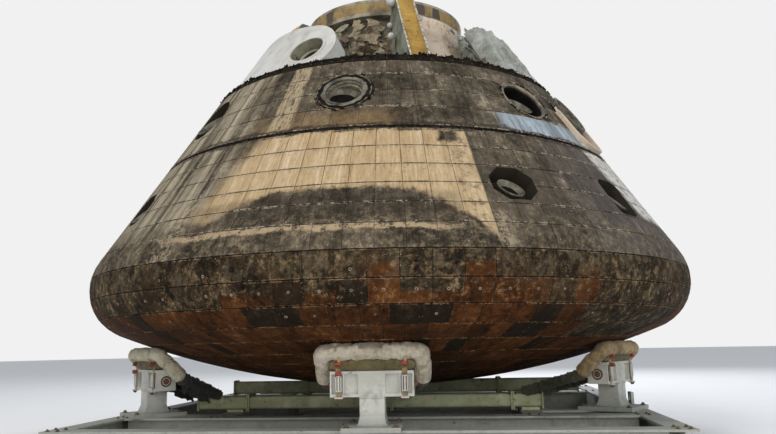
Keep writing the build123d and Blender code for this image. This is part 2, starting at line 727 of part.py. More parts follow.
os.makedirs("parts", exist_ok=True)
write("heat_shield", heat_shield())
for node, body in cone_panels().items():
    write(node, body)
frame, hatch, pane = hatch_parts()
write("splice_ring", whole_cone(*Z_SPLICE, SPLICE_SINK) - frame_block(SEAM))
write("top_ring", whole_cone(Z_TOP_RING[0] + 1, Z_TOP_RING[1], 0, TOP_RING_T))
write("hatch_frame", frame)
write("side_hatch", hatch)
write("hatch_pane", pane)
write("hatch_hinge_eyes", [eyes - frame for eyes in hinge_fixed()])
write("hatch_hinge_arms", [arm - hatch for arm in hinge_arms()])
frames, panes = window_parts()
write("window_frames", frames)
write("window_panes", panes)
write("thruster_nozzles", nozzles())
write("thruster_flange", thruster_flange())
write("vent_collar", vent_collar())
shells, stands = seats()
write("seat_shells", shells)
write("seat_stands", stands)
write("cabin_floor", Pos(0, 0, up(FLOOR_TOP) - FLOOR_T / 2) * Cylinder(FLOOR_R, FLOOR_T))
write("forward_deck", forward_deck())
write("docking_tunnel", tube_ring(TUNNEL_R, TUNNEL_R - TUNNEL_T, *TUNNEL_Z))
write("docking_ring", docking_ring())
write("docking_hatch", lid())
write("docking_hinge_eyes", lid_eyes())
write("docking_hinge_arms", lid_arms())
write("gussets", gussets())
write("port_cover", port_cover())
write("bay_panels", [conical_cover(*row) for row in BAY_PANELS])
write("mortar_tubes", mortar_tubes())
for node in ("cradle_side_beams", "cradle_end_beams", "cradle_cross_beams", "cradle_inner_beams"):
    write(node, beams(node))
write("cradle_posts", posts())
write("cradle_heads", post_heads())
write("pad_saddles", saddles())
pad_list = pads()
write("head_pads", pad_list)
write("pad_arms", arms(pad_list))
write("cross_tubes", cross_tubes())
write("tie_down_lugs", lugs())
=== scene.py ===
import json
import logging
import random
from dataclasses import dataclass, field
from enum import Enum
from itertools import product
from math import asin, atan2, copysign, cos, degrees, hypot, pi, radians, sin, sqrt, tan, tau
from typing import Callable, Sequence

import bmesh
import bpy
import numpy as np
from mathutils import Matrix, Vector, noise


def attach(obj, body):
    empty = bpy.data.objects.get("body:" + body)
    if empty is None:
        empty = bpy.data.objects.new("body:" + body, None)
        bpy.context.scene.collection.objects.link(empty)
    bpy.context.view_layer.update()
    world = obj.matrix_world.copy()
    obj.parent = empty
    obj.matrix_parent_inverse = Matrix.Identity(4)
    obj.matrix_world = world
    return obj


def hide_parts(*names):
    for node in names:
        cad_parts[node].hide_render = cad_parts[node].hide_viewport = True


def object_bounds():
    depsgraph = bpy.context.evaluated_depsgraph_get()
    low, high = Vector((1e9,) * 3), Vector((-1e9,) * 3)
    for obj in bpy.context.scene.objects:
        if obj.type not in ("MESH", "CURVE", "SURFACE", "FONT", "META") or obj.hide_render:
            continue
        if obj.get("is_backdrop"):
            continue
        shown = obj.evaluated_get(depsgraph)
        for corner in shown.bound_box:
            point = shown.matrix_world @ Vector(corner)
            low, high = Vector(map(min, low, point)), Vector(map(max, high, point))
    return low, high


logging.basicConfig(level=logging.INFO, format="%(message)s")
log = logging.getLogger("capsule")

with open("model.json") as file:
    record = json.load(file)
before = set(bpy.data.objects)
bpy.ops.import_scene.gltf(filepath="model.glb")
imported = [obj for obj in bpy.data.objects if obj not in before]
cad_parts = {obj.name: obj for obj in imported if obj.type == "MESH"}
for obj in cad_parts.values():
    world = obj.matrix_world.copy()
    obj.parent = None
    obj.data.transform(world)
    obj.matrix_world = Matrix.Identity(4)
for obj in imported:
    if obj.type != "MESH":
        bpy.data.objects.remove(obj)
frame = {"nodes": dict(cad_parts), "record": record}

Colour = tuple[float, float, float]
Stops = Sequence[tuple[float, Colour]]

# Height of the shield's apex above the ground.
APEX = 0.365
SEED = 41
SIDES = (-1, 1)
# Radius at which a turned solid ends beside its axis.
HOLE = 0.0005
TILE_FACES = 49
UP = Vector((0, 0, 1))
# The cradle's frame is turned a little under the capsule.
FRAME_TURN = Matrix.Rotation(radians(-7.3), 4, "Z")
# Cross tubes: place across the frame, ends along it, side, height of the middle, flange joints.
TUBES = [(-0.75, -1.46, 1.24, 0.100, 0.270, (-1.05, 0.10, 1.02)),
         (0.75, -1.70, 1.70, 0.120, 0.300, (-0.95, 0.95))]
# Posts: azimuth, radius, heading of the pad.
POSTS = [(-3.4, 1.975, -3.4), (57.6, 1.932, 51.7), (176.6, 1.975, 176.6), (-65.8, 2.016, -53.0)]


def direction(az: float) -> Vector:
    """Horizontal unit vector at an azimuth in degrees, 0 at the front."""
    a = radians(az)
    return Vector((sin(a), -cos(a), 0.0))


def tangent(az: float) -> Vector:
    """Horizontal unit vector along growing azimuth."""
    a = radians(az)
    return Vector((cos(a), sin(a), 0.0))


def ring_spot(az: float, r: float, h: float) -> Vector:
    """Point at an azimuth, a radius and a height above the apex."""
    return direction(az) * r + Vector((0, 0, APEX + h))


def hoop(r0: float, r1: float, z0: float, z1: float) -> list[tuple[float, float]]:
    """Outline of a plain ring between two radii and two heights."""
    return [(r0, z0), (r1, z0), (r1, z1), (r0, z1)]


def spin(axis: str, angle: float) -> Matrix:
    """Rotation about X, Y or Z by an angle in radians."""
    return Matrix.Rotation(angle, 4, axis)


def move(x: float, y: float, z: float) -> Matrix:
    """Translation."""
    return Matrix.Translation((x, y, z))


def wobble(point: Vector, scale: float, seed: float = 0.0) -> float:
    """Smooth noise from -1 to 1 at a point.

    Args:
        point: place in metres.
        scale: features per metre.
        seed: shift that gives another pattern.

    Returns:
        The noise value.
    """
    return noise.noise(Vector(point) * scale + Vector((seed, seed * 0.37, -seed)))


def applied(obj: bpy.types.Object) -> bpy.types.Mesh:
    """New mesh of an object with its modifiers applied; the object loses them."""
    depsgraph = bpy.context.evaluated_depsgraph_get()
    mesh = bpy.data.meshes.new_from_object(obj.evaluated_get(depsgraph), preserve_all_data_layers=True,
                                           depsgraph=depsgraph)
    obj.modifiers.clear()
    return mesh


def slab_faces(n: int, m: int) -> list[tuple[int, ...]]:
    """Faces of a closed sheet whose two sides are grids.

    Args:
        n: cells along a row.
        m: rows.

    Returns:
        Faces over the points of the lower side and then of the upper side, row by row.
    """
    size = (n + 1) * (m + 1)
    faces = []
    for j, i in product(range(m), range(n)):
        a, b = j * (n + 1) + i, (j + 1) * (n + 1) + i
        faces += [(a + 1, a, b, b + 1), (size + a, size + a + 1, size + b + 1, size + b)]
    rim = [*range(n + 1), *((n + 1) * j + n for j in range(1, m + 1)),
           *(m * (n + 1) + i for i in range(n - 1, -1, -1)),
           *((n + 1) * j for j in range(m - 1, 0, -1))]
    return faces + [(a, b, size + b, size + a) for a, b in zip(rim, rim[1:] + rim[:1])]


@dataclass(frozen=True)
class Outline:
    """Turned outline of the capsule, by arc length from the shield's apex."""

    nose_r: float = 6.04
    shoulder_r: float = 0.378
    max_r: float = 2.515
    cone: float = radians(32.5)

    @property
    def centre(self) -> tuple[float, float]:
        """Centre (r, h) of the shoulder arc."""
        c = self.max_r - self.shoulder_r
        return c, self.nose_r - sqrt((self.nose_r - self.shoulder_r) ** 2 - c * c)

    @property
    def nose_angle(self) -> float:
        """Angle of the spherical part, in radians."""
        return asin(self.centre[0] / (self.nose_r - self.shoulder_r))

    def at(self, s: float) -> tuple[float, float, float, float]:
        """Point and normal of the outline.

        Args:
            s: arc length from the apex.

        Returns:
            Radius, height above the apex, and the outward normal (radial, up).
        """
        s1 = self.nose_r * self.nose_angle
        low = self.nose_angle - pi / 2
        s2 = s1 + self.shoulder_r * (self.cone - low)
        cr, ch = self.centre
        if s <= s1:
            a = s / self.nose_r
            return self.nose_r * sin(a), self.nose_r * (1 - cos(a)), sin(a), -cos(a)
        if s <= s2:
            a = low + (s - s1) / self.shoulder_r
            return cr + self.shoulder_r * cos(a), ch + self.shoulder_r * sin(a), cos(a), sin(a)
        a, d = self.cone, s - s2
        r, h = cr + self.shoulder_r * cos(a) - d * sin(a), ch + self.shoulder_r * sin(a) + d * cos(a)
        return r, h, cos(a), sin(a)

    def arc(self, h: float) -> float:
        """Arc length at a height above the apex."""
        low, high = 0.0, 6.0
        for _ in range(48):
            mid = (low + high) / 2
            if self.at(mid)[1] < h:
                low = mid
            else:
                high = mid
        return (low + high) / 2

    def place(self, s: float, az: float, lift: float = 0.0) -> Vector:
        """Point on the skin, lifted along its normal."""
        r, h, nr, nh = self.at(s)
        p = direction(az) * (r + nr * lift)
        p.z = APEX + h + nh * lift
        return p

    def skin(self, az: float, h: float, lift: float = 0.0) -> Matrix:
        """Local axes on the skin: X to growing azimuth, Y up the slope, Z outwards."""
        _, _, nr, nh = self.at(self.arc(h))
        n = direction(az) * nr + Vector((0, 0, nh))
        x = tangent(az)
        y = n.cross(x)
        p = self.place(self.arc(h), az, lift)
        return Matrix(((x.x, y.x, n.x, p.x), (x.y, y.y, n.y, p.y), (x.z, y.z, n.z, p.z), (0, 0, 0, 1)))

    def cone_r(self, h: float, sink: float = 0.0) -> float:
        """Radius of the cone's line, carried on above the skin, at a depth."""
        r, h0, _, _ = self.at(self.arc(1.2))
        return r - (h - h0) * tan(self.cone) - sink / cos(self.cone)


SHELL = Outline()


class MeshKit:
    """Collects vertices, faces and face-corner values, and makes an object of them."""

    def __init__(self) -> None:
        """Starts empty."""
        self.verts: list[Vector] = []
        self.faces: list[tuple[int, ...]] = []
        self.uvs: dict[str, list[tuple[float, float]]] = {}

    def add(self, verts: Sequence[Vector], faces: Sequence[Sequence[int]]) -> None:
        """Adds a part."""
        base = len(self.verts)
        self.verts.extend(Vector(v) for v in verts)
        self.faces.extend(tuple(base + i for i in f) for f in faces)

    def box(self, size: Sequence[float], place: Matrix, chamfer: float = 0.003) -> None:
        """Box with chamfered edges, centred at a placement.

        Args:
            size: full lengths along the placement's axes.
            place: centre and axes.
            chamfer: width of the chamfers.
        """
        h = [v / 2 for v in size]
        c = min(chamfer, min(h) * 0.45)
        verts, index = [], {}
        corners = list(product(SIDES, repeat=3))
        for corner in corners:
            for axis in range(3):
                p = [s * (v - c) for s, v in zip(corner, h)]
                p[axis] = corner[axis] * h[axis]
                index[(*corner, axis)] = len(verts)
                verts.append(place @ Vector(p))

        def at(axis: int, s: int, a: int, b: int, face: int) -> int:
            """Vertex of a face at the corner with sign s along an axis and a, b along the next two."""
            corner = [0, 0, 0]
            corner[axis], corner[(axis + 1) % 3], corner[(axis + 2) % 3] = s, a, b
            return index[(*corner, face)]

        faces = []
        for axis in range(3):
            u, v = (axis + 1) % 3, (axis + 2) % 3
            for s in SIDES:
                faces.append([at(axis, s, a, b, axis) for a, b in ((-1, -1), (1, -1), (1, 1), (-1, 1))][::s])
            for a, b in product(SIDES, repeat=2):
                ends = ((-1, u), (1, u), (1, v), (-1, v))
                faces.append([at(axis, s, a, b, face) for s, face in ends][::a * b])
        for corner in corners:
            faces.append([index[(*corner, k)] for k in range(3)][::corner[0] * corner[1] * corner[2]])
        self.add(verts, faces)

    def turned(self, outline: Sequence[tuple[float, float]], place: Matrix, steps: int = 24,
               rough: float = 0.0) -> None:
        """Solid or ring of revolution about the placement's Z.

        Args:
            outline: closed outline of (radius, z) points.
            place: centre and axes.
            steps: sides round.
            rough: random change of the radii, in metres.
        """
        verts, faces = [], []
        n = len(outline)
        for i in range(steps):
            a = tau * i / steps
            for r, z in outline:
                p = Vector((r * cos(a), r * sin(a), z))
                if rough:
                    p *= 1 + rough * wobble(place @ p, 30) / max(r, 0.01)
                verts.append(place @ p)
            j = (i + 1) % steps
            faces += [(i * n + k, j * n + k, j * n + (k + 1) % n, i * n + (k + 1) % n) for k in range(n)]
        self.add(verts, faces)

    def bolt(self, place: Matrix, across: float, high: float) -> None:
        """Hexagon head on a washer, with a short stud end."""
        r = across / sqrt(3)
        self.turned(hoop(HOLE, across * 0.95, 0, high * 0.22), place, 20)
        self.turned([(HOLE, high * 0.2), (r, high * 0.2), (r, high * 0.85), (r * 0.86, high), (HOLE, high)],
                    place, 6)
        self.turned([(HOLE, high * 0.9), (r * 0.45, high * 0.9), (r * 0.45, high * 1.3), (HOLE, high * 1.35)],
                    place, 12)

    def tube(self, points: Sequence[Vector], radius: Callable[[float, float], float],
             sides: int = 16) -> None:
        """Closed tube along points.

        Args:
            points: middle line.
            radius: gives the radius at (share along, angle).
            sides: sides round.
        """
        frames = []
        for i, p in enumerate(points):
            d = (points[min(i + 1, len(points) - 1)] - points[max(i - 1, 0)]).normalized()
            x = d.cross(UP)
            x = x.normalized() if x.length > 1e-4 else Vector((1, 0, 0))
            frames.append((p, x, x.cross(d).normalized()))
        verts, faces = [], []
        last = len(points) - 1
        for i, (p, x, y) in enumerate(frames):
            for k in range(sides):
                a = tau * k / sides
                verts.append(p + (x * cos(a) + y * sin(a)) * radius(i / last, a))
        for i, k in product(range(last), range(sides)):
            m = (k + 1) % sides
            faces.append((i * sides + k, i * sides + m, (i + 1) * sides + m, (i + 1) * sides + k))
        faces.append(tuple(range(sides))[::-1])
        faces.append(tuple(last * sides + k for k in range(sides)))
        self.add(verts, faces)

    def build(self, name: str, material: bpy.types.Material | None, slot: str = "", body: str = "capsule",
              smooth: float = 35.0) -> bpy.types.Object:
        """Makes the object.

        Args:
            name: piece name.
            material: its finish.
            slot: material slot of the record, not stored on the piece; only whether it is empty is used, ""
                for a helper or the floor, which ride on no body.
            body: CAD body it rides on.
            smooth: edges under this angle in degrees are shaded smooth.

        Returns:
            The object.
        """
        mesh = bpy.data.meshes.new(name)
        mesh.from_pydata([tuple(v) for v in self.verts], [], self.faces)
        for key, values in self.uvs.items():
            layer = mesh.uv_layers.new(name=key)
            layer.data.foreach_set("uv", [x for pair in values for x in pair])
        mesh.update()
        obj = bpy.data.objects.new(name, mesh)
        bpy.context.scene.collection.objects.link(obj)
        if material is not None:
            mesh.materials.append(material)
        if smooth:
            mesh.shade_smooth()
            mesh.set_sharp_from_angle(angle=radians(smooth))
        if slot:
            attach(obj, body)
        return obj


@dataclass(frozen=True)
class Value:
    """A value in a material's graph; arithmetic on it adds math nodes."""

    graph: "Graph"
    socket: bpy.types.NodeSocket

    def __add__(self, other: object) -> "Value":
        """Sum."""
        return self.graph.math("ADD", self, other)

    def __sub__(self, other: object) -> "Value":
        """Difference."""
        return self.graph.math("SUBTRACT", self, other)

    def __rsub__(self, other: float) -> "Value":
        """Difference from a number."""
        return self.graph.math("SUBTRACT", other, self)

    def __mul__(self, other: object) -> "Value":
        """Product."""
        return self.graph.math("MULTIPLY", self, other)

    def __pow__(self, other: float) -> "Value":
        """Power."""
        return self.graph.math("POWER", self, other)

    def __abs__(self) -> "Value":
        """Size without sign."""
        return self.graph.math("ABSOLUTE", self)

    __radd__ = __add__
    __rmul__ = __mul__


class Graph:
    """Builds the node tree of one material."""

    def __init__(self, name: str) -> None:
        """Starts a Principled material that reads object coordinates."""
        self.material = bpy.data.materials.new(name)
        self.material.use_nodes = True
        self.tree = self.material.node_tree
        self.tree.nodes.clear()
        out = self.new("OutputMaterial")
        self.shader = self.new("BsdfPrincipled")
        self.tree.links.new(self.shader.outputs[0], out.inputs[0])
        self.at = Value(self, self.new("TexCoord").outputs["Object"])

    def new(self, kind: str) -> bpy.types.Node:
        """Adds a node; its kind is given without ShaderNode in front."""
        return self.tree.nodes.new("ShaderNode" + kind)

    def feed(self, socket: bpy.types.NodeSocket, value: object) -> None:
        """Links a value to a socket or sets its constant."""
        if isinstance(value, Value):
            self.tree.links.new(value.socket, socket)
        elif socket.type == "RGBA":
            socket.default_value = (*value, 1.0)
        else:
            socket.default_value = value

    def fill(self, node: bpy.types.Node, values: dict, out: int | str = 0) -> Value:
        """Feeds some inputs of a node.

        Args:
            node: the node.
            values: values by name or number of the input.
            out: name or number of the output.

        Returns:
            That output.
        """
        for key, value in values.items():
            self.feed(node.inputs[key], value)
        return Value(self, node.outputs[out])

    def math(self, op: str, *values: object) -> Value:
        """Math node."""
        n = self.new("Math")
        n.operation = op
        return self.fill(n, dict(enumerate(values)))

    def most(self, a: object, b: object) -> Value:
        """Larger of two values."""
        return self.math("MAXIMUM", a, b)

    def split(self, vector: Value) -> list[Value]:
        """X, Y and Z of a vector."""
        n = self.new("SeparateXYZ")
        self.feed(n.inputs[0], vector)
        return [Value(self, out) for out in n.outputs]

    def join(self, *values: object) -> Value:
        """Vector of two or three values."""
        return self.fill(self.new("CombineXYZ"), dict(enumerate(values)))

    def noise(self, scale: float, detail: float = 5.0, rough: float = 0.6, at: Value | None = None,
              warp: float = 0.0, centred: bool = False) -> Value:
        """Noise texture.

        Args:
            scale: features per unit.
            detail: octaves.
            rough: weight of the octaves.
            at: coordinates, the object's if not given.
            warp: distortion.
            centred: True for values from -1 to 1.

        Returns:
            The noise value, 0 to 1 unless centred.
        """
        values = {"Vector": at or self.at, "Scale": scale, "Detail": detail, "Roughness": rough,
                  "Distortion": warp}
        out = self.fill(self.new("TexNoise"), values)
        return out * 2.0 - 1.0 if centred else out

    def cells(self, scale: float) -> Value:
        """Distance to the nearest random point."""
        return self.fill(self.new("TexVoronoi"), {"Vector": self.at, "Scale": scale}, "Distance")

    def step(self, value: Value, low: object, high: object) -> Value:
        """Smooth step from 0 at low to 1 at high."""
        n = self.new("MapRange")
        n.interpolation_type = "SMOOTHSTEP"
        return self.fill(n, {"Value": value, "From Min": low, "From Max": high})

    def fall(self, value: Value, low: object, high: object) -> Value:
        """Smooth step from 1 at low to 0 at high."""
        return 1 - self.step(value, low, high)

    def band(self, value: Value, low: float, high: float, soft: float) -> Value:
        """One between low and high, fading over soft outside them."""
        return self.step(value, low - soft, low) * self.fall(value, high, high + soft)

    def mix(self, share: object, a: object, b: object) -> Value:
        """Colour mix from a to b."""
        n = self.new("Mix")
        n.data_type = "RGBA"
        n.clamp_factor = True
        return self.fill(n, {"Factor": share, 6: a, 7: b}, 2)

    def ramp(self, value: Value, stops: Stops) -> Value:
        """Colour ramp through the stops."""
        n = self.new("ValToRGB")
        marks = n.color_ramp.elements
        while len(marks) < len(stops):
            marks.new(0.5)
        for mark, (at, colour) in zip(marks, stops):
            mark.position = at
            mark.color = (*colour, 1.0)
        return self.fill(n, {0: value})

    def uv(self, name: str) -> tuple[Value, Value]:
        """The two values of a face-corner layer."""
        n = self.new("UVMap")
        n.uv_map = name
        u, v, _ = self.split(Value(self, n.outputs[0]))
        return u, v

    def polar(self) -> tuple[Value, Value, Value]:
        """Azimuth in degrees, height above the apex and radius."""
        x, y, z = self.split(self.at)
        az = self.math("ARCTAN2", x, y * -1.0) * degrees(1.0)
        r = self.math("SQRT", x * x + y * y)
        return az, z - APEX, r

    def chalk(self, edge: Value, up: Value) -> Value:
        """Mask of the chalky crumbs in a tile's ring joints.

        Args:
            edge: the tile's border marks.
            up: share up the tile.

        Returns:
            The mask.
        """
        middle = self.fall(abs(up - 0.5), 0.455, 0.488)
        joint = self.fall(edge + middle * 0.45, 0.2, 0.9)
        crumbs = joint * self.step(self.noise(30, 6, 0.78), 0.48, 0.56)
        return crumbs * self.step(self.noise(3.6, 5, 0.7), 0.42, 0.52)

    def bump(self, height: Value, distance: float, strength: float = 1.0) -> Value:
        """Bump from a height value; distance in metres."""
        return self.fill(self.new("Bump"), {"Height": height, "Distance": distance, "Strength": strength})

    def done(self, colour: Value, rough: Value, normal: Value | None = None, metal: object = 0.0,
             **extra: float) -> bpy.types.Material:
        """Feeds the shader.

        Args:
            colour: base colour.
            rough: roughness.
            normal: bump, if there is one.
            metal: how metallic it is.
            extra: other inputs, with _ for a space.

        Returns:
            The material.
        """
        values = {"Base Color": colour, "Roughness": rough, "Metallic": metal}
        if normal is not None:
            values["Normal"] = normal
        self.fill(self.shader, values | {key.replace("_", " "): value for key, value in extra.items()})
        return self.material


class Kind(Enum):
    """How a tile came through the heat; the value is its tone."""

    BLACK = 0.05
    CHAR = 0.25
    HALF = 0.45
    RUST = 0.75


@dataclass(frozen=True)
class ConeTileFinish:
    """Scorched tiles of the cone: a bare tan patch at the front, char, grey streaks, a glossy blue band."""

    name: str = "cone_tiles"
    char: Stops = ((0.36, (0.010, 0.008, 0.005)), (0.46, (0.048, 0.038, 0.025)),
                   (0.56, (0.112, 0.090, 0.062)), (0.66, (0.32, 0.265, 0.19)))
    tan: Stops = ((0.25, (0.20, 0.12, 0.05)), (0.42, (0.36, 0.25, 0.13)), (0.6, (0.46, 0.345, 0.205)),
                  (0.8, (0.60, 0.49, 0.36)))
    grey: Stops = ((0.3, (0.07, 0.06, 0.045)), (0.5, (0.255, 0.215, 0.15)), (0.72, (0.54, 0.475, 0.36)))

    def make(self) -> bpy.types.Material:
        """Returns the material."""
        g = Graph(self.name)
        az, h, r = g.polar()
        tone, edge = g.uv("tile")
        across, up = g.uv("inside")
        along = g.join(az * 0.40, h * 0.8)
        streak = g.noise(1.0, 7, 0.65, along)
        fine = g.noise(1.0, 6, 0.7, g.join(az * 2.2, h * 9.0))
        blotch = g.noise(3.2, 9, 0.76, warp=0.5)
        mottle = g.noise(20, 9, 0.80, warp=0.25)
        wave = g.noise(1.5, 4, 0.6, centred=True)
        soft_az = az + wave * 5.0
        soft_h = h + g.noise(3.0, 6, 0.65, centred=True) * 0.06
        toned = (tone - 0.5) * 0.07
        char_fac = blotch * 0.30 + streak * 0.22 + mottle * 0.35 + toned
        char = g.ramp((char_fac + fine * 0.12) * 1.45 - 0.222, self.char)
        upper = g.step(h, 1.73, 1.76)
        brown = upper * g.band(soft_az, -24, -2, 8) * g.fall(soft_h, 1.84, 1.98)
        brown *= g.step(blotch, 0.38, 0.6)
        char = g.mix(brown * 0.8, char, g.mix(fine, (0.11, 0.066, 0.028), (0.24, 0.16, 0.075)))
        plum = g.step(soft_az, 24, 40) * (1 - upper)
        char = g.mix(plum * 0.35, char, g.mix(fine, (0.06, 0.055, 0.055), (0.17, 0.15, 0.145)))
        grey_fac = streak * 0.5 + fine * 0.2 + mottle * 0.32
        grey = g.ramp(grey_fac, self.grey)
        left = g.fall(soft_az, -36, -27) * g.step(soft_h, 1.0, 1.2)
        back = g.step(abs(soft_az), 75, 100)
        colour = g.mix(g.most(left, back * 0.55) * g.step(streak, 0.36, 0.55), char, grey)
        rough_h = soft_h + (mottle - 0.5) * 0.11
        colour = self.tan_patch(g, colour, az, h, soft_az, rough_h, streak, fine, toned)
        drip = g.step(up, 0.70, 1.0) * g.step(g.noise(1.0, 5, 0.7, g.join(az * 2.6, h * 2.2)), 0.5, 0.62)
        colour = g.mix(drip * 0.6, colour, (0.12, 0.08, 0.04))
        sooty = g.band(soft_h, 1.06, 1.22, 0.03) * g.band(az, -32, 9, 3)
        colour = g.mix(sooty * g.fall(rough_h, 1.20, 1.26) * 0.35, colour, (0.02, 0.014, 0.009))
        colour = self.light_marks(g, colour, az, h, soft_az, soft_h, mottle, fine)
        gloss = g.band(az, 25, 47, 3) * g.band(h, 1.768, 1.915, 0.006) * g.step(blotch, 0.34, 0.46)
        gloss *= g.step(az + mottle * 12, 24, 37)
        sheen = g.mix(g.step(streak * 0.6 + fine * 0.4, 0.35, 0.62), (0.13, 0.16, 0.18), (0.58, 0.66, 0.72))
        colour = g.mix(gloss, colour, sheen)
        worn = g.fall(edge + fine * 0.7, 0.35, 0.8) * g.step(g.noise(9, 5), 0.38, 0.5)
        sides = g.step(abs(across - 0.5), 0.42, 0.45) * g.band(az, -34, 15, 2)
        worn *= 1 - sides * 0.7
        colour = g.mix(worn * 0.75, colour, (0.022, 0.017, 0.011))
        seam = g.band(soft_h, 1.715, 1.772, 0.012) * g.step(mottle, 0.40, 0.52)
        colour = g.mix(seam * 0.85, colour, (0.022, 0.018, 0.013))
        chalk = g.chalk(edge, up)
        fleck = g.fall(g.cells(62), 0.10, 0.24) * g.step(g.noise(10, 6, 0.7), 0.50, 0.60)
        chalk = chalk * (g.step(h, 0.88, 1.02) * 0.50 + 0.35)
        fleck = g.most(fleck * 0.75, chalk)
        colour = g.mix(fleck, colour, g.mix(fine, (0.27, 0.22, 0.15), (0.56, 0.49, 0.38)))
        pit = g.fall(g.cells(46), 0.06, 0.16)
        colour = g.mix(pit * 0.5, colour, (0.02, 0.016, 0.012))
        deep = g.fall(r + h * 0.637, 2.99, 3.01) * g.step(abs(az), 159, 160)
        bare = g.mix(blotch, (0.010, 0.008, 0.005), (0.045, 0.036, 0.026))
        bare = g.mix(deep, bare, g.mix(blotch, (0.26, 0.255, 0.225), (0.50, 0.49, 0.45)))
        colour = g.mix(g.step(tone, 0.0002, 0.0004), bare, colour)
        height = fine * 0.6 + g.noise(130, 4) * 0.4 - pit * 0.6
        rough = 0.78 + fine * 0.2 - gloss * 0.52
        return g.done(colour, rough, g.bump(height, 0.0022, 0.8), gloss * 0.7, Specular_IOR_Level=0.2)

    def tan_patch(self, g: Graph, colour: Value, az: Value, h: Value, soft_az: Value, soft_h: Value,
                  streak: Value, fine: Value, toned: Value) -> Value:
        """Adds the bare tan patch above its arch.

        Args:
            g: the material's graph.
            colour: colour under the patch.
            az: azimuth.
            h: height.
            soft_az: azimuth with a wavy error.
            soft_h: height with a wavy error.
            streak: broad noise along the slope.
            fine: fine noise along the slope.
            toned: shift of this tile.

        Returns:
            The colour with the patch.
        """
        off = abs(az + 6.4)
        drop = g.step(az, -2, 4) * 0.145 + 0.155
        arch = 1.255 - (off * 0.05) ** 3.0 * drop
        left_edge = h * 13.0 - 47.3
        mask = g.step(soft_az, left_edge - 3.0, left_edge + 3.0)
        mask *= g.fall(az, 14.5, 14.9)
        mask *= g.fall(h, 1.726, 1.731)
        mask *= g.step(soft_h, arch, arch + 0.045)
        low = 1.03 + g.fall(az, -32, -26) * 0.05 - g.step(az, 6, 10) * 0.11
        mask *= g.step(h, low, low + 0.06)
        smear = g.band(soft_az, 11.0, 13.5, 1.2) * g.band(soft_h, 1.640, 1.69, 0.03)
        broken = g.step(az, 8, 14) * g.step(g.noise(14, 6, 0.7), 0.5, 0.62)
        mask *= 1 - g.most(smear, broken * 0.7)
        fac = streak * 0.55 + fine * 0.55 + toned * 0.8
        sandy = g.ramp(fac * 1.5 - 0.280, self.tan)
        spots = g.step(g.noise(34, 7, 0.8), 0.57, 0.62)
        return g.mix(mask, colour, g.mix(spots * 0.5, sandy, (0.16, 0.10, 0.05)))

    def light_marks(self, g: Graph, colour: Value, az: Value, h: Value, soft_az: Value, soft_h: Value,
                    mottle: Value, fine: Value) -> Value:
        """Adds the pale strip beside the flanged thruster, the pale seam lines and the pale panels.

        Args:
            g: the material's graph.
            colour: colour under the marks.
            az: azimuth.
            h: height.
            soft_az: azimuth with a wavy error.
            soft_h: height with a wavy error.
            mottle: small spots.
            fine: fine noise along the slope.

        Returns:
            The colour with the marks.
        """
        strip = g.band(az + mottle * 3.0, -22.6, -18.6, 1.0) * g.step(h, 1.75, 1.80)
        strip *= g.step(fine + mottle, 0.80, 1.05)
        colour = g.mix(strip * 0.85, colour, g.mix(fine, (0.24, 0.18, 0.10), (0.52, 0.42, 0.28)))
        line = g.band(soft_h, 0.990, 1.012, 0.015) * g.band(az, -30, 5, 8)
        line *= g.step(mottle, 0.40, 0.52)
        colour = g.mix(line * 0.9, colour, g.mix(fine, (0.28, 0.20, 0.11), (0.54, 0.42, 0.27)))
        seam = g.band(az + mottle * 4.0, 17.0, 18.4, 0.8) * g.band(h, 0.80, 1.05, 0.08)
        seam *= g.step(mottle, 0.44, 0.56)
        colour = g.mix(seam * 0.8, colour, (0.33, 0.27, 0.19))
        sooted = g.band(soft_az, 16.5, 27, 2) * g.band(soft_h, 1.0, 1.45, 0.08) * 0.55
        colour = g.mix(sooted, colour, g.mix(fine, (0.020, 0.016, 0.011), (0.115, 0.092, 0.066)))
        left = g.band(az + mottle * 6.0, -33.0, -29.5, 1.2) * g.band(h, 0.75, 1.3, 0.1)
        colour = g.mix(left * g.step(mottle, 0.48, 0.60), colour, (0.34, 0.28, 0.19))
        dust = g.band(soft_h, 0.85, 1.05, 0.07) * g.step(mottle, 0.49, 0.58)
        colour = g.mix(dust * 0.38, colour, g.mix(fine, (0.12, 0.085, 0.045), (0.34, 0.26, 0.16)))
        slant = h * -9.0 + 61.5
        faded = g.fall(soft_az + mottle * 40.0, 76, 98)
        pale = g.step(az + mottle * 4.0, slant, slant + 3.0) * faded * g.band(soft_h, 1.20, 1.90, 0.06)
        pale *= g.step(mottle + fine * 0.3, 0.52, 0.66)
        return g.mix(pale * 0.9, colour, g.mix(fine, (0.50, 0.47, 0.42), (0.82, 0.80, 0.75)))


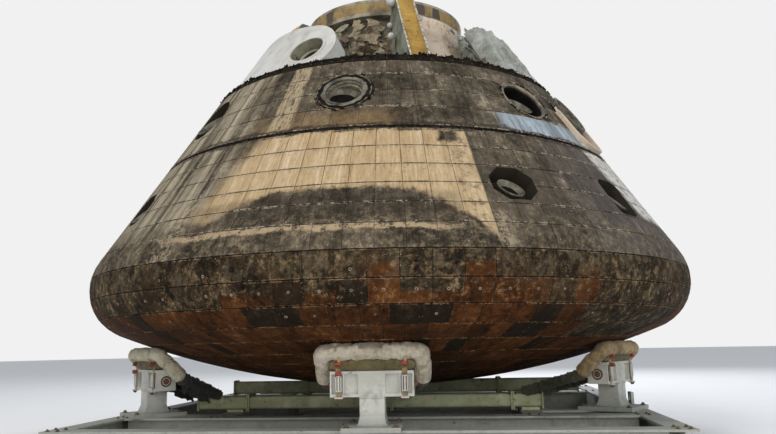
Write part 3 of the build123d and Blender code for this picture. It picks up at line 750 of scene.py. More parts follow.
@dataclass(frozen=True)
class ShieldTileFinish:
    """Ablated tiles of the heat shield: rust brown, some black, some rust only in their lower half."""

    name: str = "heat_shield_tiles"
    rust: Stops = ((0.34, (0.007, 0.003, 0.001)), (0.45, (0.050, 0.018, 0.005)),
                   (0.56, (0.115, 0.042, 0.012)), (0.66, (0.29, 0.15, 0.06)))
    char: Stops = ((0.38, (0.005, 0.004, 0.002)), (0.47, (0.024, 0.017, 0.009)),
                   (0.55, (0.075, 0.054, 0.030)), (0.64, (0.30, 0.22, 0.125)))

    def make(self) -> bpy.types.Material:
        """Returns the material."""
        g = Graph(self.name)
        az, h, r = g.polar()
        tone, edge = g.uv("tile")
        _, local_v = g.uv("inside")
        fine = g.noise(1.0, 7, 0.7, g.join(az * 1.4, r * 7.0, h * 7.0))
        blotch = g.noise(5.0, 9, 0.76, warp=0.5)
        mottle = g.noise(21, 9, 0.80, warp=0.25)
        shift = g.math("FRACT", tone * 97.0) * 0.08
        base = fine * 0.18 + blotch * 0.36 + mottle * 0.42
        rust = g.ramp(base * 1.2 - 0.148 + shift, self.rust)
        char = g.ramp(base * 1.5 - 0.235, self.char)
        black = g.mix(fine, (0.004, 0.003, 0.002), (0.020, 0.013, 0.007))
        ragged = local_v + (mottle - 0.5) * 1.6
        half = g.band(tone, 0.36, 0.60, 0.02) * g.step(ragged, 0.42, 0.56)
        burnt = g.most(g.fall(tone, 0.33, 0.35), half)
        colour = g.mix(burnt, rust, char)
        colour = g.mix(g.fall(tone, 0.12, 0.16) * 0.9, colour, black)
        patch = g.step(mottle, 0.54, 0.62) * g.step(h, 0.50, 0.62) * 0.7
        colour = g.mix(patch, colour, g.mix(fine, (0.10, 0.055, 0.022), (0.30, 0.19, 0.09)))
        soot = g.step(g.noise(1.7, 6, 0.65), 0.50, 0.66) * 0.65
        colour = g.mix(soot, colour, g.mix(fine, (0.010, 0.006, 0.003), (0.06, 0.03, 0.014)))
        grey = g.step(h, 0.60, 0.80) * g.step(g.noise(6, 9, 0.80), 0.50, 0.58) * 0.5
        colour = g.mix(grey, colour, g.mix(mottle, (0.012, 0.010, 0.006), (0.22, 0.175, 0.11)))
        worn = g.fall(edge + fine * 0.8, 0.3, 0.75) * 0.7
        colour = g.mix(worn, colour, (0.010, 0.007, 0.005))
        dots = g.fall(g.cells(40), 0.06, 0.16) * g.fall(edge, 0.3, 0.95)
        dots *= g.step(g.noise(7, 4), 0.42, 0.54)
        specks = g.fall(g.cells(58), 0.06, 0.15) * g.step(g.noise(9, 5), 0.52, 0.62)
        crumbs = g.chalk(edge, local_v) * g.step(tone, 0.0002, 0.0004) * 0.7
        colour = g.mix(crumbs, colour, g.mix(fine, (0.12, 0.065, 0.028), (0.42, 0.28, 0.15)))
        colour = g.mix(g.most(dots, specks * 0.8), colour, (0.40, 0.31, 0.20))
        height = fine * 0.55 + g.noise(110, 5, 0.65) * 0.45
        return g.done(colour, 0.66 + fine * 0.3, g.bump(height, 0.0032, 1.0), Specular_IOR_Level=0.10)


@dataclass(frozen=True)
class WornPaint:
    """Paint over metal with dirt, chips at random and fine scratches, and optional painted shade near the
    ground.
    """

    name: str
    light: Colour
    dark: Colour
    chip: Colour = (0.06, 0.04, 0.025)
    chips: float = 0.62
    dirt: float = 0.5
    scale: float = 9.0
    gloss: float = 0.45
    metal: float = 0.0
    # Height in metres under which painted shade darkens the paint; 0 for none.
    shaded_below: float = 0.0

    def make(self) -> bpy.types.Material:
        """Returns the material."""
        g = Graph(self.name)
        broad = g.noise(self.scale * 0.35, 7, 0.65)
        fine = g.noise(self.scale * 5, 6, 0.7)
        colour = g.mix(g.step(broad, 0.35, 0.65), self.dark, self.light)
        # Painted shade: below the given height the paint turns a darker grey-green.
        low = g.fall(g.split(g.at)[2], self.shaded_below * 0.6, self.shaded_below) if self.shaded_below else 0.0
        grime = g.step(g.noise(self.scale, 9, 0.72, warp=0.6), 0.5, 0.72) * self.dirt
        colour = g.mix(low * 0.72, colour, g.mix(fine, (0.122, 0.134, 0.117), (0.345, 0.367, 0.322)))
        colour = g.mix(grime, colour, g.mix(fine, (0.035, 0.028, 0.02), (0.12, 0.095, 0.065)))
        chip = g.step(g.noise(self.scale * 2.2, 8, 0.75), self.chips, self.chips + 0.03)
        colour = g.mix(chip * 0.85, colour, self.chip)
        rough = self.gloss + fine * 0.2 + grime * 0.3
        height = fine * 0.35 - chip * 0.6
        return g.done(colour, rough, g.bump(height, 0.0008, 0.6), self.metal)


@dataclass(frozen=True)
class BurntMetal:
    """Bare metal with heat stains."""

    name: str
    light: Colour = (0.42, 0.38, 0.30)
    dark: Colour = (0.06, 0.05, 0.04)
    stain: Colour = (0.30, 0.20, 0.09)
    rough: float = 0.42
    metal: float = 0.75
    scale: float = 6.0
    shine: float = 0.5

    def make(self) -> bpy.types.Material:
        """Returns the material."""
        g = Graph(self.name)
        broad = g.noise(self.scale, 8, 0.68, warp=0.4)
        fine = g.noise(self.scale * 9, 6, 0.7)
        colour = g.mix(g.step(broad * 0.7 + fine * 0.3, 0.36, 0.64), self.dark, self.light)
        colour = g.mix(g.step(g.noise(self.scale * 2, 6), 0.5, 0.7) * 0.6, colour, self.stain)
        rough = self.rough + fine * 0.3
        return g.done(colour, rough, g.bump(fine, 0.0008, 0.6), self.metal, Specular_IOR_Level=self.shine)


@dataclass(frozen=True)
class Canvas:
    """Woven fabric, soiled and stained; faces that look up can be darkened, partly by dust and partly as
    painted shade.
    """

    name: str
    light: Colour
    dark: Colour
    stain: Colour
    soiled: float = 0.5
    # Strength of the darkening of faces that look up, partly dust and partly painted shade.
    top: float = 0.0

    def make(self) -> bpy.types.Material:
        """Returns the material."""
        g = Graph(self.name)
        broad = g.noise(5, 8, 0.7, warp=0.5)
        fine = g.noise(45, 5, 0.65)
        colour = g.mix(g.step(broad * 0.75 + fine * 0.25, 0.38, 0.6), self.dark, self.light)
        dirty = g.step(g.noise(9, 9, 0.75, warp=0.8), 0.5, 0.68) * self.soiled
        colour = g.mix(dirty, colour, self.stain)
        # Faces that look up darken: partly dust, partly painted shade from what lies over them.
        if self.top:
            up = g.split(Value(g, g.new("TexCoord").outputs["Normal"]))[2]
            dust_and_shade = g.step(up + g.noise(4, 7, 0.7, centred=True) * 0.7, 0.15, 0.75)
            colour = g.mix(dust_and_shade * self.top, colour, g.mix(fine, self.stain, self.dark))
        x, y, z = g.split(g.at)
        weave = g.math("SINE", (x + y) * 1500) + g.math("SINE", z * 1700)
        height = weave * 0.10 + g.noise(26, 6, 0.6) + g.noise(9, 4, 0.5, warp=1.4) * 1.5
        return g.done(colour, 0.82 + fine * 0.15, g.bump(height, 0.005, 0.8), 0.0, Sheen_Weight=0.15)


@dataclass(frozen=True)
class RingFinish:
    """Docking ring: off-white rims, a band of tan and dark segments with white dividers."""

    name: str = "ring_metal"
    segment: float = 7.2

    def make(self) -> bpy.types.Material:
        """Returns the material."""
        g = Graph(self.name)
        az, h, r = g.polar()
        fine = g.noise(38, 6, 0.7)
        broad = g.noise(7, 8, 0.7)
        white = g.mix(g.step(broad, 0.40, 0.62), (0.34, 0.305, 0.235), (0.10, 0.082, 0.055))
        count = (az + 360.0) * (1 / self.segment) + g.noise(2.6, 2, 0.5, centred=True) * 0.9
        part = g.math("FRACT", count)
        pick = g.noise(1.0, 0, 0.5, g.join(g.math("FLOOR", count), 0.5))
        cell = g.mix(g.step(pick, 0.33, 0.38), (0.07, 0.05, 0.035), (0.30, 0.20, 0.065))
        cell = g.mix(g.step(broad, 0.42, 0.62) * 0.7, cell, (0.07, 0.055, 0.035))
        band = g.band(h, 3.182, 3.276, 0.003) * g.band(part, 0.03, 0.97, 0.015)
        band *= g.step(r, 0.73, 0.735)
        colour = g.mix(band, white, cell)
        chip = g.step(g.noise(30, 8, 0.75), 0.6, 0.64)
        colour = g.mix(chip * 0.8, colour, (0.07, 0.055, 0.04))
        height = fine * 0.4 - band * 1.5
        return g.done(colour, 0.5 + fine * 0.3, g.bump(height, 0.003, 0.7))


@dataclass(frozen=True)
class GussetFinish:
    """Radial frames: gold channel, off-white flanges, grey-green sides."""

    name: str = "gusset_primer"
    first: float = 10.2
    half_web: float = 0.0655
    half_wide: float = 0.0795

    def make(self) -> bpy.types.Material:
        """Returns the material."""
        g = Graph(self.name)
        az, _, r = g.polar()
        turn = g.math("WRAP", az - self.first, 30.0, -30.0)
        across = abs(r * g.math("SINE", turn * radians(1.0)))
        fine = g.noise(34, 7, 0.72)
        broad = g.noise(6, 8, 0.7, warp=0.4)
        gold = g.ramp(broad * 0.6 + fine * 0.4, ((0.3, (0.12, 0.07, 0.015)), (0.48, (0.35, 0.205, 0.032)),
                                                 (0.62, (0.50, 0.32, 0.07)), (0.8, (0.6, 0.45, 0.22))))
        flange = g.mix(g.step(g.noise(55, 6, 0.7), 0.45, 0.56), (0.66, 0.62, 0.54), (0.20, 0.15, 0.09))
        side = g.mix(g.step(broad, 0.4, 0.62), (0.30, 0.31, 0.25), (0.10, 0.10, 0.07))
        colour = g.mix(g.step(across, self.half_web, self.half_web + 0.001), gold, flange)
        colour = g.mix(g.step(across, self.half_wide, self.half_wide + 0.0003), colour, side)
        char = g.step(g.noise(10, 9, 0.75), 0.56, 0.66) * 0.75
        colour = g.mix(char, colour, (0.045, 0.032, 0.02))
        return g.done(colour, 0.45 + fine * 0.35, g.bump(fine, 0.0018, 0.7))


@dataclass(frozen=True)
class GlassFinish:
    """Dark coated glass with dust."""

    name: str = "window_glass"

    def make(self) -> bpy.types.Material:
        """Returns the material."""
        g = Graph(self.name)
        dust = g.step(g.noise(14, 8, 0.7), 0.45, 0.75)
        colour = g.mix(dust, (0.012, 0.018, 0.018), (0.10, 0.11, 0.095))
        return g.done(colour, 0.06 + dust * 0.35, g.bump(g.noise(4, 2), 0.002, 0.3), 0.0, IOR=1.5)


@dataclass(frozen=True)
class StageFloor:
    """Pale even floor."""

    name: str = "stage_floor"

    def make(self) -> bpy.types.Material:
        """Returns the material."""
        g = Graph(self.name)
        fine = g.noise(2.5, 4, 0.6)
        return g.done(g.mix(fine, (0.80, 0.80, 0.80), (0.86, 0.855, 0.85)), 0.7 + fine * 0.1)


FINISHES = (
    ConeTileFinish(),
    ShieldTileFinish(),
    RingFinish(),
    GussetFinish(),
    GlassFinish(),
    StageFloor(),
    BurntMetal("bare_metal"),
    # Bell metal: burnt, and darkened further as painted shade of the hollow pockets.
    BurntMetal("nozzle_metal", (0.25, 0.235, 0.18), (0.04, 0.036, 0.027), (0.13, 0.09, 0.045), 0.5, 0.5, 9.0),
    BurntMetal("charred_ring", (0.018, 0.014, 0.009), (0.003, 0.002, 0.002), (0.025, 0.017, 0.009), 0.9, 0.0,
               12.0, 0.12),
    BurntMetal("seam_filler", (0.05, 0.04, 0.03), (0.008, 0.006, 0.005), (0.02, 0.015, 0.01), 0.8, 0.0,
               14.0, 0.15),
    BurntMetal("plug_ring", (0.34, 0.28, 0.20), (0.07, 0.05, 0.035), (0.16, 0.11, 0.06), 0.7, 0.0, 25.0),
    # Liner metal: burnt, and darkened further as painted shade of the hollow pockets.
    BurntMetal("burnt_and_shaded_liner", (0.26, 0.235, 0.165), (0.035, 0.029, 0.02), (0.13, 0.085, 0.04), 0.7, 0.1,
               11.0),
    BurntMetal("pale_flake", (0.36, 0.28, 0.17), (0.14, 0.10, 0.06), (0.30, 0.2, 0.1), 0.8, 0.0, 14.0),
    # Near-black dull finish: painted shade inside the thruster throats.
    BurntMetal("soot", (0.012, 0.010, 0.008), (0.004, 0.003, 0.003), (0.01, 0.008, 0.006), 0.95, 0.0,
               shine=0.04),
    BurntMetal("rusty_steel", (0.20, 0.13, 0.08), (0.05, 0.035, 0.025), (0.16, 0.06, 0.02), 0.6, 0.35, 16.0),
    WornPaint("seat_paint", (0.5, 0.5, 0.5), (0.36, 0.37, 0.37), dirt=0.2, chips=0.7),
    WornPaint("cabin_paint", (0.6, 0.6, 0.56), (0.45, 0.45, 0.42), dirt=0.25, chips=0.7),
    WornPaint("bay_metal", (0.30, 0.29, 0.21), (0.11, 0.105, 0.07), dirt=0.8, chips=0.58, scale=8.0),
    WornPaint("red_paint", (0.34, 0.035, 0.02), (0.20, 0.02, 0.012), dirt=0.5, chips=0.58, scale=20.0),
    WornPaint("white_cover", (0.62, 0.62, 0.59), (0.47, 0.46, 0.42), (0.16, 0.12, 0.08), 0.66, 0.35, 7.0),
    WornPaint("pale_panel", (0.57, 0.48, 0.375), (0.46, 0.355, 0.27), (0.12, 0.07, 0.04), 0.62, 0.5, 8.0,
              0.6),
    WornPaint("stained_panel", (0.72, 0.60, 0.46), (0.54, 0.43, 0.31), (0.22, 0.07, 0.04), 0.58, 0.45, 9.0,
              0.6),
    WornPaint("green_paint", (0.48, 0.50, 0.31), (0.27, 0.285, 0.15), (0.05, 0.035, 0.02), 0.60, 0.55, 8.0),
    # The cradle paint gets painted shade near the ground, below 0.36 m.
    WornPaint("cradle_paint", (0.60, 0.60, 0.55), (0.42, 0.42, 0.37), (0.12, 0.07, 0.035), 0.64, 0.45, 7.0,
              shaded_below=0.36),
    # The pad fabric darkens on faces that look up, partly with dust and partly with painted shade.
    Canvas("pad_fabric", (0.60, 0.54, 0.43), (0.29, 0.245, 0.165), (0.10, 0.078, 0.043), 0.6, 0.75),
    Canvas("wrapped_fabric", (0.085, 0.078, 0.040), (0.022, 0.022, 0.013), (0.14, 0.12, 0.07), 0.3),
    Canvas("khaki_canvas", (0.44, 0.32, 0.16), (0.17, 0.12, 0.052), (0.05, 0.035, 0.015), 0.45),
    # Lighter copy of the pad fabric for the left roll: painted sunlight, with less shade on top.
    Canvas("sunlit_pad_fabric", (0.66, 0.61, 0.46), (0.44, 0.395, 0.27), (0.16, 0.13, 0.075), 0.5, 0.35),
    Canvas("cushion_canvas", (0.19, 0.155, 0.062), (0.085, 0.066, 0.026), (0.04, 0.028, 0.012), 0.5),
    Canvas("charred_blanket", (0.40, 0.32, 0.20), (0.07, 0.052, 0.030), (0.02, 0.014, 0.01), 0.6),
    Canvas("pale_blanket", (0.42, 0.38, 0.27), (0.16, 0.14, 0.09), (0.06, 0.045, 0.028), 0.6),
    Canvas("foil_blanket", (0.44, 0.46, 0.42), (0.20, 0.21, 0.18), (0.05, 0.04, 0.03), 0.45),
    Canvas("black_cover", (0.03, 0.03, 0.028), (0.01, 0.01, 0.01), (0.05, 0.045, 0.035), 0.3),
)


class Finishes:
    """All materials of the scene by name."""

    def __init__(self) -> None:
        """Makes every material once."""
        self.made = {finish.name: finish.make() for finish in FINISHES}

    def __getitem__(self, name: str) -> bpy.types.Material:
        """Material of a finish; a slot's finish has the slot's name."""
        return self.made[name]

    def dress(self) -> None:
        """Puts the record's slots on the CAD nodes."""
        slots = {row["node"]: row["material_slot"] for row in frame["record"]["subparts"]}
        for name, obj in frame["nodes"].items():
            obj.data.materials.clear()
            obj.data.materials.append(self[slots[name]])
            obj.data.shade_smooth()
            obj.data.set_sharp_from_angle(angle=radians(28))
        log.info("dressed %d CAD nodes", len(frame["nodes"]))


@dataclass(frozen=True)
class Opening:
    """A hole that goes through the tile skin."""

    az: float
    h: float
    shape: str
    w: float
    l: float
    corner: float = 0.0

    def outline(self) -> list[tuple[float, float]]:
        """Outline points in the skin's plane."""
        if self.shape == "round":
            steps = 48
            return [(self.w / 2 * cos(tau * i / steps), self.w / 2 * sin(tau * i / steps))
                    for i in range(steps)]
        x, y = self.w / 2, self.l / 2
        if self.shape == "octagon":
            c = self.corner
            return [(x, y - c), (x - c, y), (c - x, y), (-x, y - c), (-x, c - y), (c - x, -y), (x - c, -y),
                    (x, c - y)]
        pts = []
        for cx, cy, a0 in ((x, y, 0), (-x, y, 90), (-x, -y, 180), (x, -y, 270)):
            for i in range(7):
                a = radians(a0 + 15 * i)
                pts.append((cx - copysign(self.corner, cx) + self.corner * cos(a),
                            cy - copysign(self.corner, cy) + self.corner * sin(a)))
        return pts

    def prism(self, kit: MeshKit, reach: float = 0.06) -> None:
        """Adds the hole's prism to a mesh."""
        place = SHELL.skin(self.az, self.h)
        pts = self.outline()
        n = len(pts)
        verts = [place @ Vector((x, y, z)) for z in (-reach, reach) for x, y in pts]
        faces = [(i, (i + 1) % n, n + (i + 1) % n, n + i) for i in range(n)]
        faces += [tuple(range(n))[::-1], tuple(range(n, 2 * n))]
        kit.add(verts, faces)

    def near(self, p: Vector, tile: float) -> bool:
        """True where a tile about p can touch the hole."""
        c = SHELL.place(SHELL.arc(self.h), self.az)
        return (p - c).length < hypot(self.w, self.l) / 2 + tile


HATCH = Opening(172.3, 1.5, "slot", 0.856, 0.996, 0.118)
HATCH_EDGE = Opening(172.3, 1.5, "slot", 0.874, 1.014, 0.127)
OPENINGS = [
    Opening(-9.4, 2.072, "round", 0.402, 0.402),
    Opening(35.3, 2.095, "round", 0.402, 0.402),
    Opening(53.5, 2.080, "round", 0.364, 0.364),
    Opening(-51.9, 2.104, "round", 0.402, 0.402),
    Opening(112.5, 2.095, "round", 0.402, 0.402),
    Opening(-130.0, 2.104, "round", 0.402, 0.402),
    Opening(20.2, 1.307, "octagon", 0.312, 0.282, 0.084),
    Opening(-54.4, 1.346, "octagon", 0.312, 0.282, 0.084),
    Opening(84.0, 1.307, "octagon", 0.312, 0.282, 0.084),
    Opening(44.9, 1.309, "slot", 0.252, 0.332, 0.062),
    Opening(-93.0, 1.309, "slot", 0.252, 0.332, 0.062),
    Opening(142.3, 2.010, "slot", 0.304, 0.334, 0.070),
    Opening(202.3, 2.010, "slot", 0.304, 0.334, 0.070),
    Opening(114.3, 1.420, "slot", 0.334, 0.304, 0.070),
    Opening(230.3, 1.420, "slot", 0.334, 0.304, 0.070),
]


@dataclass(frozen=True)
class TileRow:
    """One ring of tiles between two arc lengths."""

    s0: float
    s1: float
    count: int
    first: float
    kinds: str = ""
    kinds_from: int = 0
    mood: str = "D"


@dataclass
class Shop:
    """Base of the sub-assemblies: the finishes and an own random stream."""

    fin: Finishes
    seed: int = SEED
    rng: random.Random = field(init=False)

    def __post_init__(self) -> None:
        """Starts the random stream."""
        self.rng = random.Random(self.seed)


@dataclass
class TileSkin(Shop):
    """Tiles as real blocks that stand a few millimetres proud of the shell, so that their gaps show."""

    LIFT = 0.0035
    GAP = 0.0030
    SIDE_GAP = 0.0011
    BEVEL = 0.0022
    CODES = {"K": Kind.BLACK, "D": Kind.CHAR, "H": Kind.HALF, "R": Kind.RUST}

    def tile(self, kit: MeshKit, row: TileRow, a0: float, a1: float, tone: float) -> None:
        """Adds one tile: top grid, bevel, sides and base.

        Args:
            kit: mesh to add to.
            row: the tile's row.
            a0: first azimuth.
            a1: last azimuth.
            tone: value stored for the shader.
        """
        draw = self.rng.uniform
        lift = self.LIFT + draw(-0.0007, 0.0007)
        tilt = [draw(-0.0006, 0.0006) for _ in range(4)]
        shift = [draw(-0.0008, 0.0008) for _ in range(8)]
        length = row.s1 - row.s0

        def at(u: float, v: float, inset: float, up: float) -> Vector:
            """Point at shares u, v of the tile, pulled in from its border by inset."""
            s = row.s0 + self.GAP + inset + v * (length - 2 * (self.GAP + inset))
            r = max(SHELL.at(s)[0], 0.02)
            pull = degrees((self.SIDE_GAP + inset * 0.6) / r)
            k = (1 - u) * (1 - v), u * (1 - v), u * v, (1 - u) * v
            s += sum(a * b for a, b in zip(k, shift[:4]))
            az = a0 + pull + u * (a1 - a0 - 2 * pull) + degrees(sum(a * b for a, b in zip(k, shift[4:])) / r)
            return SHELL.place(s, az, up + sum(a * b for a, b in zip(k, tilt)))

        width = max(radians(a1 - a0) * SHELL.at((row.s0 + row.s1) / 2)[0], 0.03)
        us = [0.0, min(0.02 / width, 0.3), 0.5, 1 - min(0.02 / width, 0.3), 1.0]
        vs = [0.0, min(0.02 / length, 0.3), 0.5, 1 - min(0.02 / length, 0.3), 1.0]
        verts, marks, places = [], [], []
        for j, v in enumerate(vs):
            for i, u in enumerate(us):
                verts.append(at(u, v, self.BEVEL, lift))
                marks.append(0.3 if i in (0, 4) or j in (0, 4) else 1.0)
                places.append((u, v))
        ring = [(i, 0) for i in range(5)] + [(4, j) for j in range(1, 5)]
        ring += [(i, 4) for i in range(3, -1, -1)] + [(0, j) for j in range(3, 0, -1)]
        for up in (lift - self.BEVEL * 0.8, -0.0015):
            for i, j in ring:
                verts.append(at(us[i], vs[j], 0.0, up))
                marks.append(0.0)
                places.append((us[i], vs[j]))
        n = len(ring)
        faces = [(j * 5 + i, j * 5 + i + 1, (j + 1) * 5 + i + 1, (j + 1) * 5 + i) for j in range(4)
                 for i in range(4)]
        top = [j * 5 + i for i, j in ring]
        for k in range(n):
            m = (k + 1) % n
            faces.append((25 + k, 25 + m, top[m], top[k]))
            faces.append((25 + n + k, 25 + n + m, 25 + m, 25 + k))
        faces.append(tuple(25 + n + k for k in range(n))[::-1])
        kit.add(verts, faces)
        kit.uvs.setdefault("tile", []).extend((tone, marks[i]) for f in faces for i in f)
        kit.uvs.setdefault("inside", []).extend(places[i] for f in faces for i in f)

    def tone(self, row: TileRow, k: int) -> float:
        """Tone of tile k: from the row's table where the front shows it, else at random by mood."""
        at = k - row.kinds_from
        if 0 <= at < len(row.kinds):
            code = row.kinds[at]
        else:
            code = self.rng.choice(row.mood)
        return self.CODES[code].value + self.rng.uniform(-0.05, 0.05)

    def rows(self, table: Sequence[TileRow], free_tone: bool) -> tuple[MeshKit, MeshKit, MeshKit]:
        """Builds the tiles of some rows.

        Args:
            table: the rows.
            free_tone: True for tones at random, False for the rows' kinds.

        Returns:
            Whole tiles, tiles that a hole cuts, and tiles of the hatch.
        """
        whole, cut, hatch = MeshKit(), MeshKit(), MeshKit()
        for row in table:
            pitch = 360 / row.count
            for k in range(row.count):
                index = k if k < row.count / 2 else k - row.count
                a0 = row.first + index * pitch
                tone = self.rng.random() if free_tone else self.tone(row, index)
                middle = SHELL.place((row.s0 + row.s1) / 2, a0 + pitch / 2)
                reach = 0.6 * hypot(row.s1 - row.s0, radians(pitch) * middle.xy.length)
                at_hole = any(o.near(middle, reach) for o in OPENINGS)
                kit = hatch if HATCH_EDGE.near(middle, reach) else cut if at_hole else whole
                self.tile(kit, row, a0, a0 + pitch, tone)
        return whole, cut, hatch

    @staticmethod
    def trim(obj: bpy.types.Object, shapes: Sequence[Opening], keep: bool = False) -> None:
        """Cuts a piece with the prisms of some openings.

        Args:
            obj: the piece.
            shapes: the openings.
            keep: True leaves what is inside them, False what is outside.
        """
        tool = MeshKit()
        for shape in shapes:
            shape.prism(tool)
        helper = tool.build("trim_tool", None, "", smooth=0)
        cutter = obj.modifiers.new("trim", "BOOLEAN")
        cutter.operation = "INTERSECT" if keep else "DIFFERENCE"
        cutter.solver = "EXACT"
        cutter.object = helper
        old, obj.data = obj.data, applied(obj)
        bpy.data.meshes.remove(old)
        bpy.data.objects.remove(helper)

    def cone(self) -> None:
        """Cone and upper shoulder tiles, with the hatch's tiles on the hatch."""
        joints = [0.864, 1.025, 1.160, 1.300, 1.437, 1.581, 1.7275]
        upper = [1.7505, 1.918, 2.072, 2.233, 2.3685]
        rows = []
        for heights, count, first in ((joints, 86, 14.8 - 4 * 360 / 86), (upper, 62, 0.3)):
            for h0, h1 in zip(heights, heights[1:]):
                rows.append(TileRow(SHELL.arc(h0), SHELL.arc(h1), count, first))
        whole, cut, hatch = self.rows(rows, True)
        tiles = self.fin["cone_tiles"]
        whole.build("cone_tiles", tiles, "cone_tiles", smooth=20)
        trimmed = cut.build("cone_tiles_trimmed", tiles, "cone_tiles", smooth=20)
        self.trim(trimmed, OPENINGS)
        around = hatch.build("hatch_surround_tiles", tiles, "cone_tiles", smooth=20)
        on_hatch = hatch.build("hatch_tiles", tiles, "cone_tiles", "side_hatch", 20)
        self.trim(around, [HATCH_EDGE])
        self.trim(on_hatch, [HATCH], True)
        self.trim(around, OPENINGS)
        log.info("cone tiles: %d whole, %d at holes, %d at the hatch", len(whole.faces) // TILE_FACES,
                 len(cut.faces) // TILE_FACES, len(hatch.faces) // TILE_FACES)

    def shield(self) -> None:
        """Heat shield tiles and their round plugs."""
        table = ((0.703, 0.8635, 86, -2.9, "DDDDDDDDDDDDDHDDHDDKHDDDDDDD", -13, "DDDDH"),
                 (0.562, 0.703, 86, -2.9, "DDDDDDDDHHKHKRHHRRRDRDDDDDDDD", -13, "RRHDK"),
                 (0.454, 0.562, 86, 0.0, "RRRRRKKRRRKKRRRKRDDDDDDD", -10, "RRRRK"),
                 (0.370, 0.454, 108, -1.2, "RRRRRRRRRRRRRRRRRKKRRDDDDDD", -11, "RRRRRK"))
        rows = [TileRow(SHELL.arc(h0), SHELL.arc(h1), *rest) for h0, h1, *rest in table]
        radii = [1.85, 1.62, 1.39, 1.16, 0.93, 0.70, 0.47, 0.24, 0.03]
        counts = [108, 108, 72, 72, 54, 36, 24, 12, 8]
        arcs = [SHELL.arc(0.370)] + [SHELL.nose_r * asin(r / SHELL.nose_r) for r in radii]
        for i, count in enumerate(counts):
            rows.append(TileRow(arcs[i + 1], arcs[i], count, 1.1 * i, "", 0, "RRRRRRRK"))
        kit, _, _ = self.rows(rows, False)
        kit.build("heat_shield_tiles", self.fin["heat_shield_tiles"], "heat_shield_tiles", smooth=20)
        plugs = MeshKit()
        for row, share in ((rows[0], 0.2), (rows[1], 0.9), (rows[2], 0.4)):
            for k in range(row.count):
                if self.rng.random() > share:
                    continue
                az = row.first + (k + 0.5) * 360 / row.count
                s = row.s0 + (row.s1 - row.s0) * (0.3 if row is rows[0] else 0.56)
                h = SHELL.at(s)[1]
                place = SHELL.skin(az, h, self.LIFT + 0.0006)
                r = self.rng.uniform(0.0060, 0.0085)
                ring = [(r - 0.003, -0.002), (r - 0.003, 0.0006), (r, 0.0012), (r + 0.0018, 0.0006),
                        (r + 0.0018, -0.002)]
                plugs.turned(ring, place, 18, rough=0.0012)
        plugs.build("shield_plugs", self.fin["plug_ring"], "heat_shield_tiles")
        log.info("heat shield tiles: %d", len(kit.faces) // TILE_FACES)


